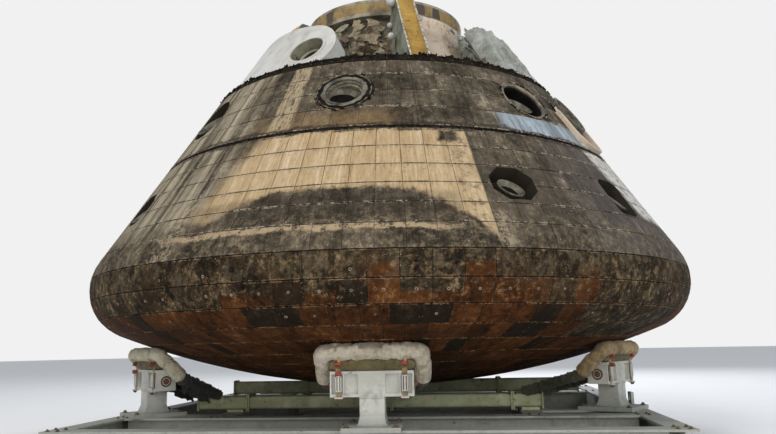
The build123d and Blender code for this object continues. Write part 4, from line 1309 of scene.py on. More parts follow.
@dataclass
class Shell(Shop):
    """Small hardware on the shell: thrusters, rivets, torn edges."""

    seed: int = SEED + 1

    def thrusters(self) -> None:
        """Bells in their pockets, with stepped liners; their burnt metal is darkened further as painted
        shade, and near-black discs in the throats are painted shade.
        """
        bells, liners, lips, burnt, rim, throat_shade = (MeshKit() for _ in range(6))
        for i, o in enumerate(OPENINGS[:11]):
            mouth = (0.22 if i == 1 else 0.30) * min(o.w, o.l)
            deep = 0.115
            tilt = spin("X", radians(-14)) @ spin("Y", radians(8 - 5 * (i % 3)))
            place = SHELL.skin(o.az, o.h) @ move(-0.012, -0.016, -0.02 if i == 1 else 0.0) @ tilt
            inner = [(0.014, -deep), (0.022, -deep + 0.018), (mouth * 0.62, -deep * 0.55),
                     (mouth * 0.9, -deep * 0.3), (mouth, -0.018)]
            outer = [(mouth + 0.010, -0.018), (mouth + 0.010, -0.026), (mouth * 0.9 + 0.006, -deep * 0.32),
                     (mouth * 0.62 + 0.006, -deep * 0.57), (0.034, -deep + 0.01), (0.034, -deep)]
            bells.turned(inner + outer, place, 36, rough=0.0012)
            # Near-black disc half way down each bell: painted shade of the throat.
            throat_shade.turned([(0.0008, -deep * 0.46), (mouth * 0.76, -deep * 0.42),
                            (mouth * 0.70, -deep * 0.47), (0.0008, -deep * 0.52)], place, 32)
            if o.shape == "round":
                r = o.w / 2
                ring = SHELL.skin(o.az, o.h)
                if i == 0:
                    burnt.turned([(0.156, -0.04), (0.196, -0.04), (0.198, 0.004), (0.186, 0.011),
                                  (0.166, 0.009), (0.156, 0.002)], ring, 72, rough=0.016)
                    for r_out, r_in, top in ((0.157, 0.140, 0.003), (0.140, 0.128, -0.012),
                                             (0.128, 0.112, -0.034)):
                        liners.turned([(r_in, -0.07), (r_out, -0.07), (r_out, top),
                                       (r_out - 0.004, top + 0.004), (r_in + 0.003, top + 0.003),
                                       (r_in, top)], ring, 48, rough=0.0035)
                elif i == 2:
                    liners.turned(hoop(0.138, 0.149, -0.10, 0.034), ring, 40, rough=0.002)
                    self.tall_rim(rim)
                elif i != 3:
                    lips.turned([(r - 0.030, -0.02), (r - 0.003, -0.02), (r - 0.003, 0.001),
                                 (r - 0.012, 0.005), (r - 0.030, -0.006)], ring, 48, rough=0.004)
                    # Thruster 1's inner ring also takes the near-black painted shade.
                    (throat_shade if i == 1 else liners).turned(
                        [(r - 0.052, -0.12), (r - 0.031, -0.12), (r - 0.031, -0.020), (r - 0.042, -0.014),
                         (r - 0.052, -0.024)], ring, 48, rough=0.003)
        bells_obj = bells.build("thruster_bells", self.fin["nozzle_metal"], "nozzle_metal")
        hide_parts("thruster_nozzles")
        liners.build("thruster_liners", self.fin["burnt_and_shaded_liner"], "nozzle_metal")
        lips.build("thruster_lips", self.fin["bare_metal"], "bare_metal")
        burnt.build("burnt_surround", self.fin["charred_ring"], "charred_ring", smooth=60)
        # The throat discs use the near-black painted-shade finish.
        throat_shade.build("thruster_throat_shade", self.fin["soot"], "nozzle_metal")
        rim.build("tall_rim", self.fin["pale_panel"], "pale_panel")
        log.info("thrusters built")

    @staticmethod
    def tall_rim(kit: MeshKit) -> None:
        """Adds the raised oblong rim round the right thruster, which follows the curved skin.

        Args:
            kit: mesh it goes into.
        """
        shape = Opening(55.0, 1.995, "slot", 0.46, 0.56, 0.20)
        place = SHELL.skin(shape.az, shape.h)
        section = ((0.0, -0.02), (0.0, 0.030), (0.006, 0.038), (0.020, 0.038), (0.026, 0.030), (0.026, -0.02))
        loops, verts, faces = shape.outline(), [], []
        for x, y in loops:
            off = place @ Vector((x, y, 0.0))
            az = degrees(atan2(off.x, -off.y))
            skin = SHELL.skin(az, off.z - APEX)
            inward = (skin.to_3x3().inverted() @ (place.translation - off)).normalized()
            verts += [skin @ Vector((inward.x * w, inward.y * w, lift)) for w, lift in section]
        n, m = len(loops), len(section)
        for i in range(n):
            j = (i + 1) % n
            faces += [(i * m + k, j * m + k, j * m + (k + 1) % m, i * m + (k + 1) % m) for k in range(m)]
        kit.add(verts, faces)

    def rivets(self) -> None:
        """Rivet rows along the splice and the top ring."""
        kit = MeshKit()
        for h, pitch, r in ((1.711, 4.186 / 2, 0.0045), (1.769, 4.186 / 2, 0.0050), (2.395, 3.0, 0.0045)):
            for k in range(int(360 / pitch)):
                az = 0.4 + k * pitch + self.rng.uniform(-0.1, 0.1)
                middle = SHELL.place(SHELL.arc(h), az)
                if HATCH_EDGE.near(middle, 0.02) or self.rng.random() < 0.12:
                    continue
                place = SHELL.skin(az, h + self.rng.uniform(-0.003, 0.003), 0.0030)
                kit.turned([(0.0004, 0.0), (r, 0.0), (r * 0.72, r * 0.55), (0.0004, r * 0.8)], place, 8)
        kit.build("shell_rivets", self.fin["rusty_steel"], "bare_metal")

    def shards(self) -> None:
        """Torn flakes left standing along the top ring and round the pockets."""
        draw = self.rng.uniform
        dark, pale = MeshKit(), MeshKit()
        places = []
        for _ in range(330):
            az = draw(-180, 180)
            r = SHELL.cone_r(2.434, draw(0.0, 0.05))
            spot = ring_spot(az, r, 2.433)
            lean = draw(-0.5, 0.9)
            normal = (direction(az) * lean + UP).normalized()
            places.append((spot, tangent(az), normal, draw(0.015, 0.06), draw(0.008, 0.034)))
        for o in (o for o in OPENINGS[:5] if abs(o.az + 51.9) > 1):
            frame_at = SHELL.skin(o.az, o.h)
            for _ in range(34):
                a = draw(0, tau)
                r = o.w / 2 * draw(0.97, 1.06)
                spot = frame_at @ Vector((r * cos(a), r * sin(a), 0.002))
                along = (frame_at.to_3x3() @ Vector((-sin(a), cos(a), 0))).normalized()
                out = (frame_at.to_3x3() @ Vector((cos(a) * 0.8, sin(a) * 0.8, 1))).normalized()
                places.append((spot, along, out, draw(0.012, 0.04), draw(0.004, 0.012)))
        crumbs = [(2.402 + 0.028 * self.rng.random(), 0.004) for _ in range(520)]
        crumbs += [(1.7275 + 0.023 * self.rng.random(), -0.003) for _ in range(420)]
        for h, lift in crumbs:
            az = draw(-180, 180)
            if HATCH_EDGE.near(SHELL.place(SHELL.arc(h), az), 0.03):
                continue
            turn = spin("Z", draw(0, 6)) @ spin("X", draw(-0.5, 0.5))
            size = [draw(0.008, 0.030), draw(0.006, 0.016), draw(0.006, 0.014)]
            dark.box(size, SHELL.skin(az, h, lift) @ turn, 0.003)
        for spot, along, out, wide, high in places:
            kit = pale if self.rng.random() < 0.15 else dark
            side = along.cross(out).normalized() * draw(0.003, 0.007)
            n = self.rng.randint(3, 5)
            line = [spot + along * wide * (k / n - 0.5) for k in range(n + 1)]
            tops = [p + out * high * draw(0.25, 1.0) + along * draw(-0.004, 0.004) for p in line]
            verts = [q for p, t in zip(line, tops) for q in (p - side - out * 0.003, p + side - out * 0.003,
                                                             t + side * 0.4, t - side * 0.4)]
            faces = []
            for k in range(n):
                a, b = 4 * k, 4 * k + 4
                faces += [(a + m, a + (m + 1) % 4, b + (m + 1) % 4, b + m) for m in range(4)]
            faces += [(3, 2, 1, 0), tuple(4 * n + m for m in range(4))]
            kit.add(verts, faces)
        dark.build("char_flakes", self.fin["charred_ring"], "charred_ring", smooth=0)
        pale.build("pale_flakes", self.fin["pale_flake"], "cone_tiles", smooth=0)
        log.info("torn flakes: %d", len(places))


@dataclass
class Rag:
    """One crumpled layer of torn insulation."""

    centre: Vector
    across: Vector
    along: Vector
    wide: float
    high: float
    depth: float
    seed: float
    ragged: float = 0.12
    thick: float = 0.004
    steps: int = 22

    def add(self, kit: MeshKit) -> None:
        """Adds the layer: two sides and the border, where its ragged outline leaves cells.

        Args:
            kit: mesh it goes into.
        """
        normal = self.across.cross(self.along).normalized()
        n = self.steps
        points = {}
        for j, i in product(range(n + 1), repeat=2):
            u, v = i / n - 0.5, j / n - 0.5
            p = self.centre + self.across * (u * self.wide) + self.along * (v * self.high)
            fold = abs(wobble(p, 7, self.seed)) * 1.3 + abs(wobble(p, 17, self.seed + 3)) * 0.6
            fold += wobble(p, 40, self.seed + 5) * 0.18
            drift = Vector((wobble(p, 11, self.seed + 7), wobble(p, 11, self.seed + 9),
                            wobble(p, 11, self.seed + 11)))
            edge = max(abs(u), abs(v)) * 2 + self.ragged * 2.2 * wobble(p, 14, self.seed + 2)
            edge += self.ragged * 1.4 * wobble(p, 45, self.seed + 4)
            points[i, j] = (p + normal * (fold - 0.5) * self.depth + drift * self.depth * 0.35,
                            edge < 1.0 - self.ragged)
        index, verts, faces = {}, [], []
        cells = [[(i, j), (i + 1, j), (i + 1, j + 1), (i, j + 1)] for j, i in product(range(n), repeat=2)]
        cells = [loop for loop in cells if all(points[key][1] for key in loop)]
        half = normal * self.thick / 2
        for loop in cells:
            for key in loop:
                if key not in index:
                    index[key] = len(verts) // 2
                    verts += [points[key][0] + half, points[key][0] - half]
        border: dict[tuple, int] = {}
        for loop in cells:
            ids = [index[k] for k in loop]
            faces.append([2 * k for k in ids])
            faces.append([2 * k + 1 for k in ids][::-1])
            for k in range(4):
                pair = (loop[k], loop[(k + 1) % 4])
                if pair[::-1] in border:
                    del border[pair[::-1]]
                else:
                    border[pair] = 1
        for a, b in border:
            ia, ib = index[a], index[b]
            faces.append([2 * ib, 2 * ia, 2 * ia + 1, 2 * ib + 1])
        kit.add(verts, faces)


@dataclass
class ForwardBay(Shop):
    """What is left in the open forward bay: torn insulation, blanket, pipes and fittings."""

    seed: int = SEED + 2

    def insulation(self) -> None:
        """Charred tatters on the tunnel wall and along the panels."""
        draw = self.rng.uniform
        brown, pale, foil = MeshKit(), MeshKit(), MeshKit()
        spots = []
        for count, az, r, h, size in ((80, (-42, 6), (0.66, 0.80), (2.56, 3.10), 0.75),
                                      (18, (38, 60), (0.86, 1.10), (2.84, 3.04), 0.9),
                                      (16, (-24, 2), (0.85, 1.30), (2.46, 2.56), 0.8),
                                      (12, (16, 23), (1.0, 1.22), (2.48, 2.62), 0.7),
                                      (10, (35, 40), (1.05, 1.34), (2.46, 2.66), 0.7)):
            spots += [(draw(*az), draw(*r), draw(*h), size) for _ in range(count)]
        for _ in range(46):
            az = self.rng.choice([98, 158, -142, -82]) + draw(-22, 22)
            spots.append((az, draw(0.67, 0.76), draw(2.58, 3.05), 0.9))
        for i, (az, r, h, size) in enumerate(spots):
            centre = ring_spot(az, r, h)
            turn = draw(-0.6, 0.6)
            along = (UP + tangent(az) * turn - direction(az) * (0.2 if r < 0.8 else 0.8)).normalized()
            across = along.cross(direction(az)).normalized()
            rag = Rag(centre, -across, along, size * draw(0.10, 0.22), size * draw(0.08, 0.20),
                      draw(0.02, 0.05), i * 1.7, ragged=0.22, steps=14)
            rag.add(foil if az > 36 and r > 0.84 and h > 2.8 else pale if i % 4 == 1 else brown)
        brown.build("torn_insulation_dark", self.fin["charred_blanket"], "bay_metal", smooth=60)
        pale.build("torn_insulation_pale", self.fin["pale_blanket"], "bay_metal", smooth=60)
        foil.build("torn_foil", self.fin["foil_blanket"], "pale_panel", smooth=60)
        log.info("torn insulation: %d layers", len(spots))

    def blanket(self) -> None:
        """Crumpled foil blanket over the bay right of the front gusset."""
        kit = MeshKit()
        az0, az1, h0, h1 = 36.9, 63.4, 2.446, 2.930
        n, m = 64, 56
        verts, faces, area = [], [], 0.0
        for j, i in product(range(m + 1), range(n + 1)):
            az, h = max(az0 + (az1 - az0) * i / n, az0 + 0.6), h0 + (h1 - h0) * j / m
            p = ring_spot(az, SHELL.cone_r(h, 0.070), h)
            fold = Vector((az * 0.20 + h * 0.9, h * 1.3, 0.0))
            ridge = 0.5 - abs(wobble(fold, 1.0, 4.0)) * 1.5 + (0.3 - abs(wobble(fold, 2.7, 9.0))) * 0.6
            ridge = min(max(ridge * 1.5, 0.0), 1.1) ** 0.75 + wobble(p, 38, 2.0) * 0.04
            normal = (direction(az) * 0.84 + Vector((0, 0, 0.54))).normalized()
            wrap = max(0, 5 - i) / 5
            verts.append(p + normal * ((1 - wrap) * (0.006 + 0.066 * ridge) - wrap * 0.062))
        for j, i in product(range(m), range(n)):
            u, v = i / n, j / m
            if u + v < 0.05 + 0.09 * noise.noise(Vector((u * 9, v * 9, 1.0))):
                continue
            start = j * (n + 1) + i
            loop = [start, start + 1, start + n + 2, start + n + 1]
            faces.append(loop)
            a, b, c, d = (verts[k] for k in loop)
            area += ((b - a).cross(c - a).length + (c - a).cross(d - a).length) / 2
        kit.add(verts, faces)
        obj = kit.build("foil_blanket", self.fin["foil_blanket"], "pale_panel", smooth=50)
        edit = bmesh.new()
        edit.from_mesh(obj.data)
        bmesh.ops.delete(edit, geom=[v for v in edit.verts if not v.link_faces], context="VERTS")
        edit.to_mesh(obj.data)
        edit.free()
        log.info("blanket area %.3f", area)

    def liner(self) -> None:
        """Stained panel round the tunnel's side, between the front gusset and the next."""
        kit = MeshKit()
        n, m, verts = 40, 16, []
        for side, j, i in product((0.0, 0.006), range(m + 1), range(n + 1)):
            az, v = 17.0 + 46.4 * i / n, j / m
            torn = 0.03 * noise.noise(Vector((az * 0.5, 0, 2))) * (1 - v)
            r = 0.802 - 0.058 * v + side + 0.006 * noise.noise(Vector((az * 0.12, v * 3, 5)))
            verts.append(ring_spot(az, r, 2.66 + torn + 0.505 * v))
        kit.add(verts, slab_faces(n, m))
        kit.build("bay_liner", self.fin["stained_panel"], "pale_panel", smooth=40)

    def pipes(self) -> None:
        """Fixed pipes and clamps along the tunnel and over the deck."""
        kit, clamps = MeshKit(), MeshKit()
        for az, r, low, high, size in ((-36, 0.66, 2.58, 3.12, 0.013), (-31, 0.66, 2.58, 3.05, 0.009),
                                       (-6, 0.67, 2.60, 3.12, 0.016), (-2.5, 0.66, 2.60, 3.0, 0.009),
                                       (24, 0.66, 2.6, 3.1, 0.014), (90, 0.66, 2.6, 3.1, 0.014),
                                       (150, 0.66, 2.6, 3.1, 0.012), (-100, 0.66, 2.6, 3.1, 0.014)):
            points = [ring_spot(az + 2.5 * sin(k * 0.9), r + 0.012 * sin(k * 1.7),
                                low + (high - low) * k / 12) for k in range(13)]
            start = points[0]
            foot = ring_spot(az, r + 0.34, low - 0.10)
            bend = [foot + (start - foot) * (k / 6) + Vector((0, 0, -0.03 * sin(pi * k / 6)))
                    for k in range(6)]
            kit.tube(bend + points, lambda t, a, size=size: size, 12)
            for share in (0.2, 0.5, 0.8):
                h = low + (high - low) * share
                place = Matrix.Translation(ring_spot(az, r - 0.008, h)) @ spin("Z", radians(az))
                clamps.box((size * 3.4, 0.05, 0.016), place, 0.002)
        kit.build("bay_pipes", self.fin["bare_metal"], "bare_metal")
        clamps.build("bay_clamps", self.fin["bay_metal"], "bay_metal")

    def fittings(self) -> None:
        """White bulbs by the front gusset, the port's glass and rim, and the gussets' screws."""
        white, glass, screws, sleeve = MeshKit(), MeshKit(), MeshKit(), MeshKit()
        bulbs = ((3.6, 0.930, 3.175, 0.044), (3.2, 0.80, 3.02, 0.026), (17.2, 0.86, 3.16, 0.022),
                 (18.0, 0.96, 3.02, 0.024), (3.0, 0.98, 2.84, 0.030))
        for az, r, h, size in bulbs:
            place = Matrix.Translation(ring_spot(az, r, h)) @ spin("Z", radians(az)) @ spin("X", pi / 2)
            dome = [(size * cos(a), size * sin(a) * 1.1) for a in (i * pi / 12 for i in range(-5, 6))]
            white.turned([(0.0008, -size * 1.2), (size * 0.5, -size * 1.2)] + dome
                         + [(0.0008, size * 1.08)], place, 24)
            white.turned(hoop(0.0008, size * 0.45, -size * 2.2, -size), place, 12)
        port = SHELL.skin(-26.4, 2.640)
        glass.turned([(0.0008, -0.122), (0.143, -0.128), (0.143, -0.138), (0.0008, -0.138)], port, 48)
        sleeve.turned(hoop(0.1395, 0.1445, -0.126, -0.034), port, 64)
        sleeve.turned([(0.085, -0.122), (0.105, -0.122), (0.105, -0.108), (0.085, -0.112)], port, 48)
        head = [(0.0004, -0.002), (0.0042, -0.002), (0.0034, 0.0028), (0.0004, 0.0034)]
        h0 = 2.440
        for i in range(6):
            r0, r1, h1 = (1.500, 0.905, 3.270) if i == 0 else (1.478, 1.004, 3.100)
            az = 10.2 + 60 * i
            x, along = tangent(az), (direction(az) * (r1 - r0) + Vector((0, 0, h1 - h0))).normalized()
            n = x.cross(along)
            for k in range(15):
                share = (k + 0.5) / 15
                middle = ring_spot(az, r0 + (r1 - r0) * share, h0 + (h1 - h0) * share)
                for side in SIDES:
                    spot = middle + x * side * 0.073
                    m = Matrix([(x[j], along[j], n[j], spot[j]) for j in range(3)] + [(0, 0, 0, 1)])
                    screws.turned(head, m, 8)
        white.build("bay_fittings", self.fin["white_cover"], "white_cover")
        glass.build("port_glass", self.fin["window_glass"], "window_glass")
        sleeve.build("port_sleeve", self.fin["bay_metal"], "bay_metal")
        screws.build("gusset_screws", self.fin["bare_metal"], "bare_metal")
        log.info("bay fittings built")


def post_place(i: int, z: float = 0.0) -> Matrix:
    """Axes of cradle post i at a height: X along its pad, Y inwards."""
    az, r, heading = POSTS[i]
    spot = direction(az) * r + Vector((0, 0, z))
    return Matrix.Translation(spot) @ spin("Z", radians(heading))


@dataclass(frozen=True)
class PadShape:
    """Driving sizes of the padded rolls."""

    out: float = 0.0785
    half: float = 0.308
    bend: float = 0.034
    leg: float = 0.185
    radius: float = 0.050
    sphere: float = 6.0954

    def height(self, i: int) -> float:
        """Height of roll i's middle line, which lies on a sphere round the shield's centre."""
        az, r, heading = POSTS[i]
        off = radians(az - heading)
        near, beside = r * cos(off) + self.out, max(abs(r * sin(off)) - 0.310, 0.0)
        return APEX + SHELL.nose_r - sqrt(self.sphere ** 2 - near ** 2 - beside ** 2)

    def path(self) -> list[Vector]:
        """Centre line of a roll in its post's axes at the roll's height, rounded at the corners."""
        half = [Vector((self.half - self.bend, -self.out, 0)),
                Vector((self.half, self.bend * 0.7 - self.out, -self.bend * 0.7)),
                Vector((self.half, self.leg - self.out, -self.leg))]
        pts = [Vector((-p.x, p.y, p.z)) for p in reversed(half)] + half
        for _ in range(3):
            finer = [pts[0]]
            for a, b in zip(pts, pts[1:]):
                finer += [a * 0.75 + b * 0.25, a * 0.25 + b * 0.75]
            pts = finer + [pts[-1]]
        dense = []
        for a, b in zip(pts, pts[1:]):
            n = max(1, round((b - a).length / 0.012))
            dense += [a + (b - a) * (k / n) for k in range(n)]
        return dense + [pts[-1]]


@dataclass
class SoftShop(Shop):
    """Padded and wrapped fabric of the cradle."""

    shape: PadShape = PadShape()

    @staticmethod
    def inflate(obj: bpy.types.Object, held: Callable[[Vector], bool], pressure: float, grow: float,
                cap: float) -> None:
        """Lets cloth pressure puff a closed mesh between held places, with capped movement.

        Args:
            obj: closed mesh.
            held: True for the vertices that stay.
            pressure: cloth pressure.
            grow: share by which the cloth is larger than its form.
            cap: largest movement of a vertex in metres.
        """
        count = len(obj.data.vertices)
        rest = np.empty(count * 3)
        obj.data.vertices.foreach_get("co", rest)
        group = obj.vertex_groups.new(name="held")
        group.add([v.index for v in obj.data.vertices if held(v.co)], 1.0, "REPLACE")
        cloth = obj.modifiers.new("cloth", "CLOTH")
        s = cloth.settings
        s.quality = 6
        s.mass = 0.15
        s.tension_stiffness = s.compression_stiffness = 14
        s.shear_stiffness = 8
        s.bending_stiffness = 0.15
        s.use_pressure = True
        s.uniform_pressure_force = pressure
        s.vertex_group_mass = "held"
        s.shrink_min = s.shrink_max = -grow
        s.effector_weights.gravity = 0.0
        cloth.collision_settings.use_collision = False
        cloth.point_cache.frame_start, cloth.point_cache.frame_end = 1, 20
        scene = bpy.context.scene
        for step in range(1, 21):
            scene.frame_set(step)
        moved = np.empty(count * 3)
        obj.evaluated_get(bpy.context.evaluated_depsgraph_get()).data.vertices.foreach_get("co", moved)
        scene.frame_set(1)
        obj.modifiers.remove(cloth)
        obj.vertex_groups.clear()
        change = (moved - rest).reshape(-1, 3)
        size = np.linalg.norm(change, axis=1, keepdims=True)
        change *= np.minimum(1.0, cap / np.maximum(size, 1e-9))
        obj.data.vertices.foreach_set("co", (rest.reshape(-1, 3) + change).ravel())
        obj.data.update()

    def finish(self, obj: bpy.types.Object, smooth_once: bool) -> bpy.types.Mesh:
        """Subdivides once and returns the mesh."""
        if smooth_once:
            obj.modifiers.new("finer", "SUBSURF").levels = 1
        return applied(obj)

    @staticmethod
    def remesh(obj: bpy.types.Object, voxel: float) -> None:
        """Replaces the mesh by an even one."""
        mod = obj.modifiers.new("even", "REMESH")
        mod.mode = "VOXEL"
        mod.voxel_size = voxel
        obj.data = applied(obj)

    def ties(self, points: Sequence[Vector]) -> list[Vector]:
        """Places where straps and gathers hold the roll."""
        total = len(points) - 1
        return [points[round(total * t)] for t in (0.16, 0.27, 0.37, 0.63, 0.73, 0.84)]

    def rolls(self) -> None:
        """One simulated roll, placed on every post; the right one has a khaki cover, the left one a lighter
        copy of the pad fabric that paints its sunlight.
        """
        points = self.shape.path()
        kit = MeshKit()
        radius = self.shape.radius
        kit.tube(points, lambda t, a: radius * (1 - 0.35 * max(0.0, abs(2 * t - 1) - 0.93) / 0.07), 40)
        master = kit.build("roll_form", self.fin["pad_fabric"], "", smooth=0)
        self.remesh(master, 0.0105)
        ties = self.ties(points)
        ends = (points[0], points[-1])
        self.inflate(master, lambda p: min((p - t).length for t in ties) < radius + 0.0035
                     and min(abs((p - t).x) for t in ties) < 0.006
                     or min((p - e).length for e in ends) < radius, 4.0, 0.10, 0.011)
        mesh = self.finish(master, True)
        bpy.data.objects.remove(master)
        for i in range(len(POSTS)):
            cover = {1: self.fin["khaki_canvas"], 3: self.fin["sunlit_pad_fabric"]}.get(i, self.fin["pad_fabric"])
            self.place(mesh, f"pad_roll_{i + 1}", i, cover, 0.8, "head_pads")
        log.info("padded rolls: %d faces each", len(mesh.polygons))

    def place(self, mesh: bpy.types.Mesh, name: str, post: int, cover: bpy.types.Material, fill: float,
              node: str, squeeze: float = 1.0) -> None:
        """Puts a copy of a padded form on a post.

        Args:
            mesh: form in the post's axes, at the roll's height.
            name: piece name.
            post: number of the post.
            cover: its fabric.
            fill: how full the padding is; not used.
            node: CAD node that the first copy takes the place of.
            squeeze: change of its height, to fit over the post's head.
        """
        copy = mesh.copy()
        copy.transform(Matrix.Diagonal((1.0, 1.0, squeeze, 1.0)))
        copy.transform(post_place(post, self.shape.height(post)))
        copy.materials.clear()
        copy.materials.append(cover)
        copy.shade_smooth()
        obj = bpy.data.objects.new(name, copy)
        bpy.context.scene.collection.objects.link(obj)
        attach(obj, "capsule")
        if post == 0:
            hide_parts(node)

    def cushions(self) -> None:
        """Sagging khaki cushions between the rolls and the heads."""
        kit = MeshKit()
        n, round_count = 34, 24
        sx, sy, sz = 0.256, 0.041, 0.036
        verts, faces = [], []
        for i in range(n):
            a = pi * (i / (n - 1)) - pi / 2
            thick = max(abs(cos(a)) ** 0.3, 0.02)
            for k in range(round_count):
                b = tau * k / round_count
                x = copysign(abs(sin(a)) ** 0.55, sin(a)) * sx
                y = copysign(abs(cos(b)) ** 0.6, cos(b)) * sy * thick
                z = copysign(abs(sin(b)) ** 0.6, sin(b)) * sz * thick
                verts.append(Vector((x, y - 0.044, z - 0.083)))
        for i, k in product(range(n - 1), range(round_count)):
            q = (k + 1) % round_count
            a, b = i * round_count, (i + 1) * round_count
            faces.append((a + k, b + k, b + q, a + q))
        faces.append(tuple(range(round_count)))
        faces.append(tuple((n - 1) * round_count + k for k in range(round_count))[::-1])
        kit.add(verts, faces)
        master = kit.build("cushion_form", self.fin["khaki_canvas"], "", smooth=0)
        self.remesh(master, 0.008)
        self.inflate(master, lambda p: abs(abs(p.x) - 0.20) < 0.014 or p.z < -0.112, 4.0, 0.12, 0.009)
        mesh = self.finish(master, False)
        bpy.data.objects.remove(master)
        for i in range(len(POSTS)):
            squeeze = (self.shape.height(i) - 0.547) / 0.119
            self.place(mesh, f"pad_cushion_{i + 1}", i, self.fin["cushion_canvas"], 0.5, "pad_saddles",
                       squeeze)
        log.info("cushions: %d faces each", len(mesh.polygons))

    def arms(self) -> None:
        """Struts wrapped in loose cloth; those of the left post in a black torn cover."""
        wrapped, black, torn = MeshKit(), MeshKit(), MeshKit()
        rows = [(0, -1, -0.020, -0.750, 0.32), (0, 1, 0.200, -0.750, 0.32), (1, -1, 1.080, -0.750, 0.32),
                (1, 1, 1.190, -0.750, 0.32), (2, -1, 0.020, 0.750, 0.36), (2, 1, -0.200, 0.750, 0.36),
                (3, -1, -1.405, -0.750, 0.32), (3, 1, -1.300, -0.750, 0.32)]
        s = self.shape
        for n, (post, side, u, v, rest) in enumerate(rows):
            a = post_place(post, s.height(post)) @ Vector((side * s.half, s.leg - s.out, -s.leg))
            b = FRAME_TURN @ Vector((u, v, rest))
            d = (b - a).normalized()
            loose = 2.2 if post == 3 else 1.0
            points = [a - d * 0.02 + (b - a) * (k / 60) * 0.97 for k in range(61)]

            def radius(t: float, angle: float, points: list = points, n: int = n,
                       loose: float = loose) -> float:
                """Wrapped radius with spiral laps and folds."""
                p = points[round(t * 60)] + Vector((cos(angle), sin(angle), 0)) * 0.05
                lap = (t * 9 + angle / tau + n * 0.37) % 1.0
                folds = 0.010 * abs(wobble(p, 22, n)) + 0.005 * wobble(p, 60, n)
                return 0.034 + 0.008 * lap ** 3 + loose * folds

            (black if post == 3 else wrapped).tube(points, radius, 28)
            for k in range(4 if post == 3 else 0):
                Rag(points[12 + 9 * k] + Vector((0, 0, -0.055)), d, UP, 0.17, 0.10, 0.02,
                    3.1 * k + n, 0.2, 0.003, 16).add(torn)
        obj = wrapped.build("wrapped_arms", self.fin["wrapped_fabric"], "wrapped_fabric", smooth=60)
        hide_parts("pad_arms")
        torn.build("black_tatters", self.fin["black_cover"], "wrapped_fabric", smooth=60)
        obj = black.build("black_wrapped_arms", self.fin["black_cover"], "wrapped_fabric", smooth=60)
        log.info("wrapped arms: %d", len(rows))


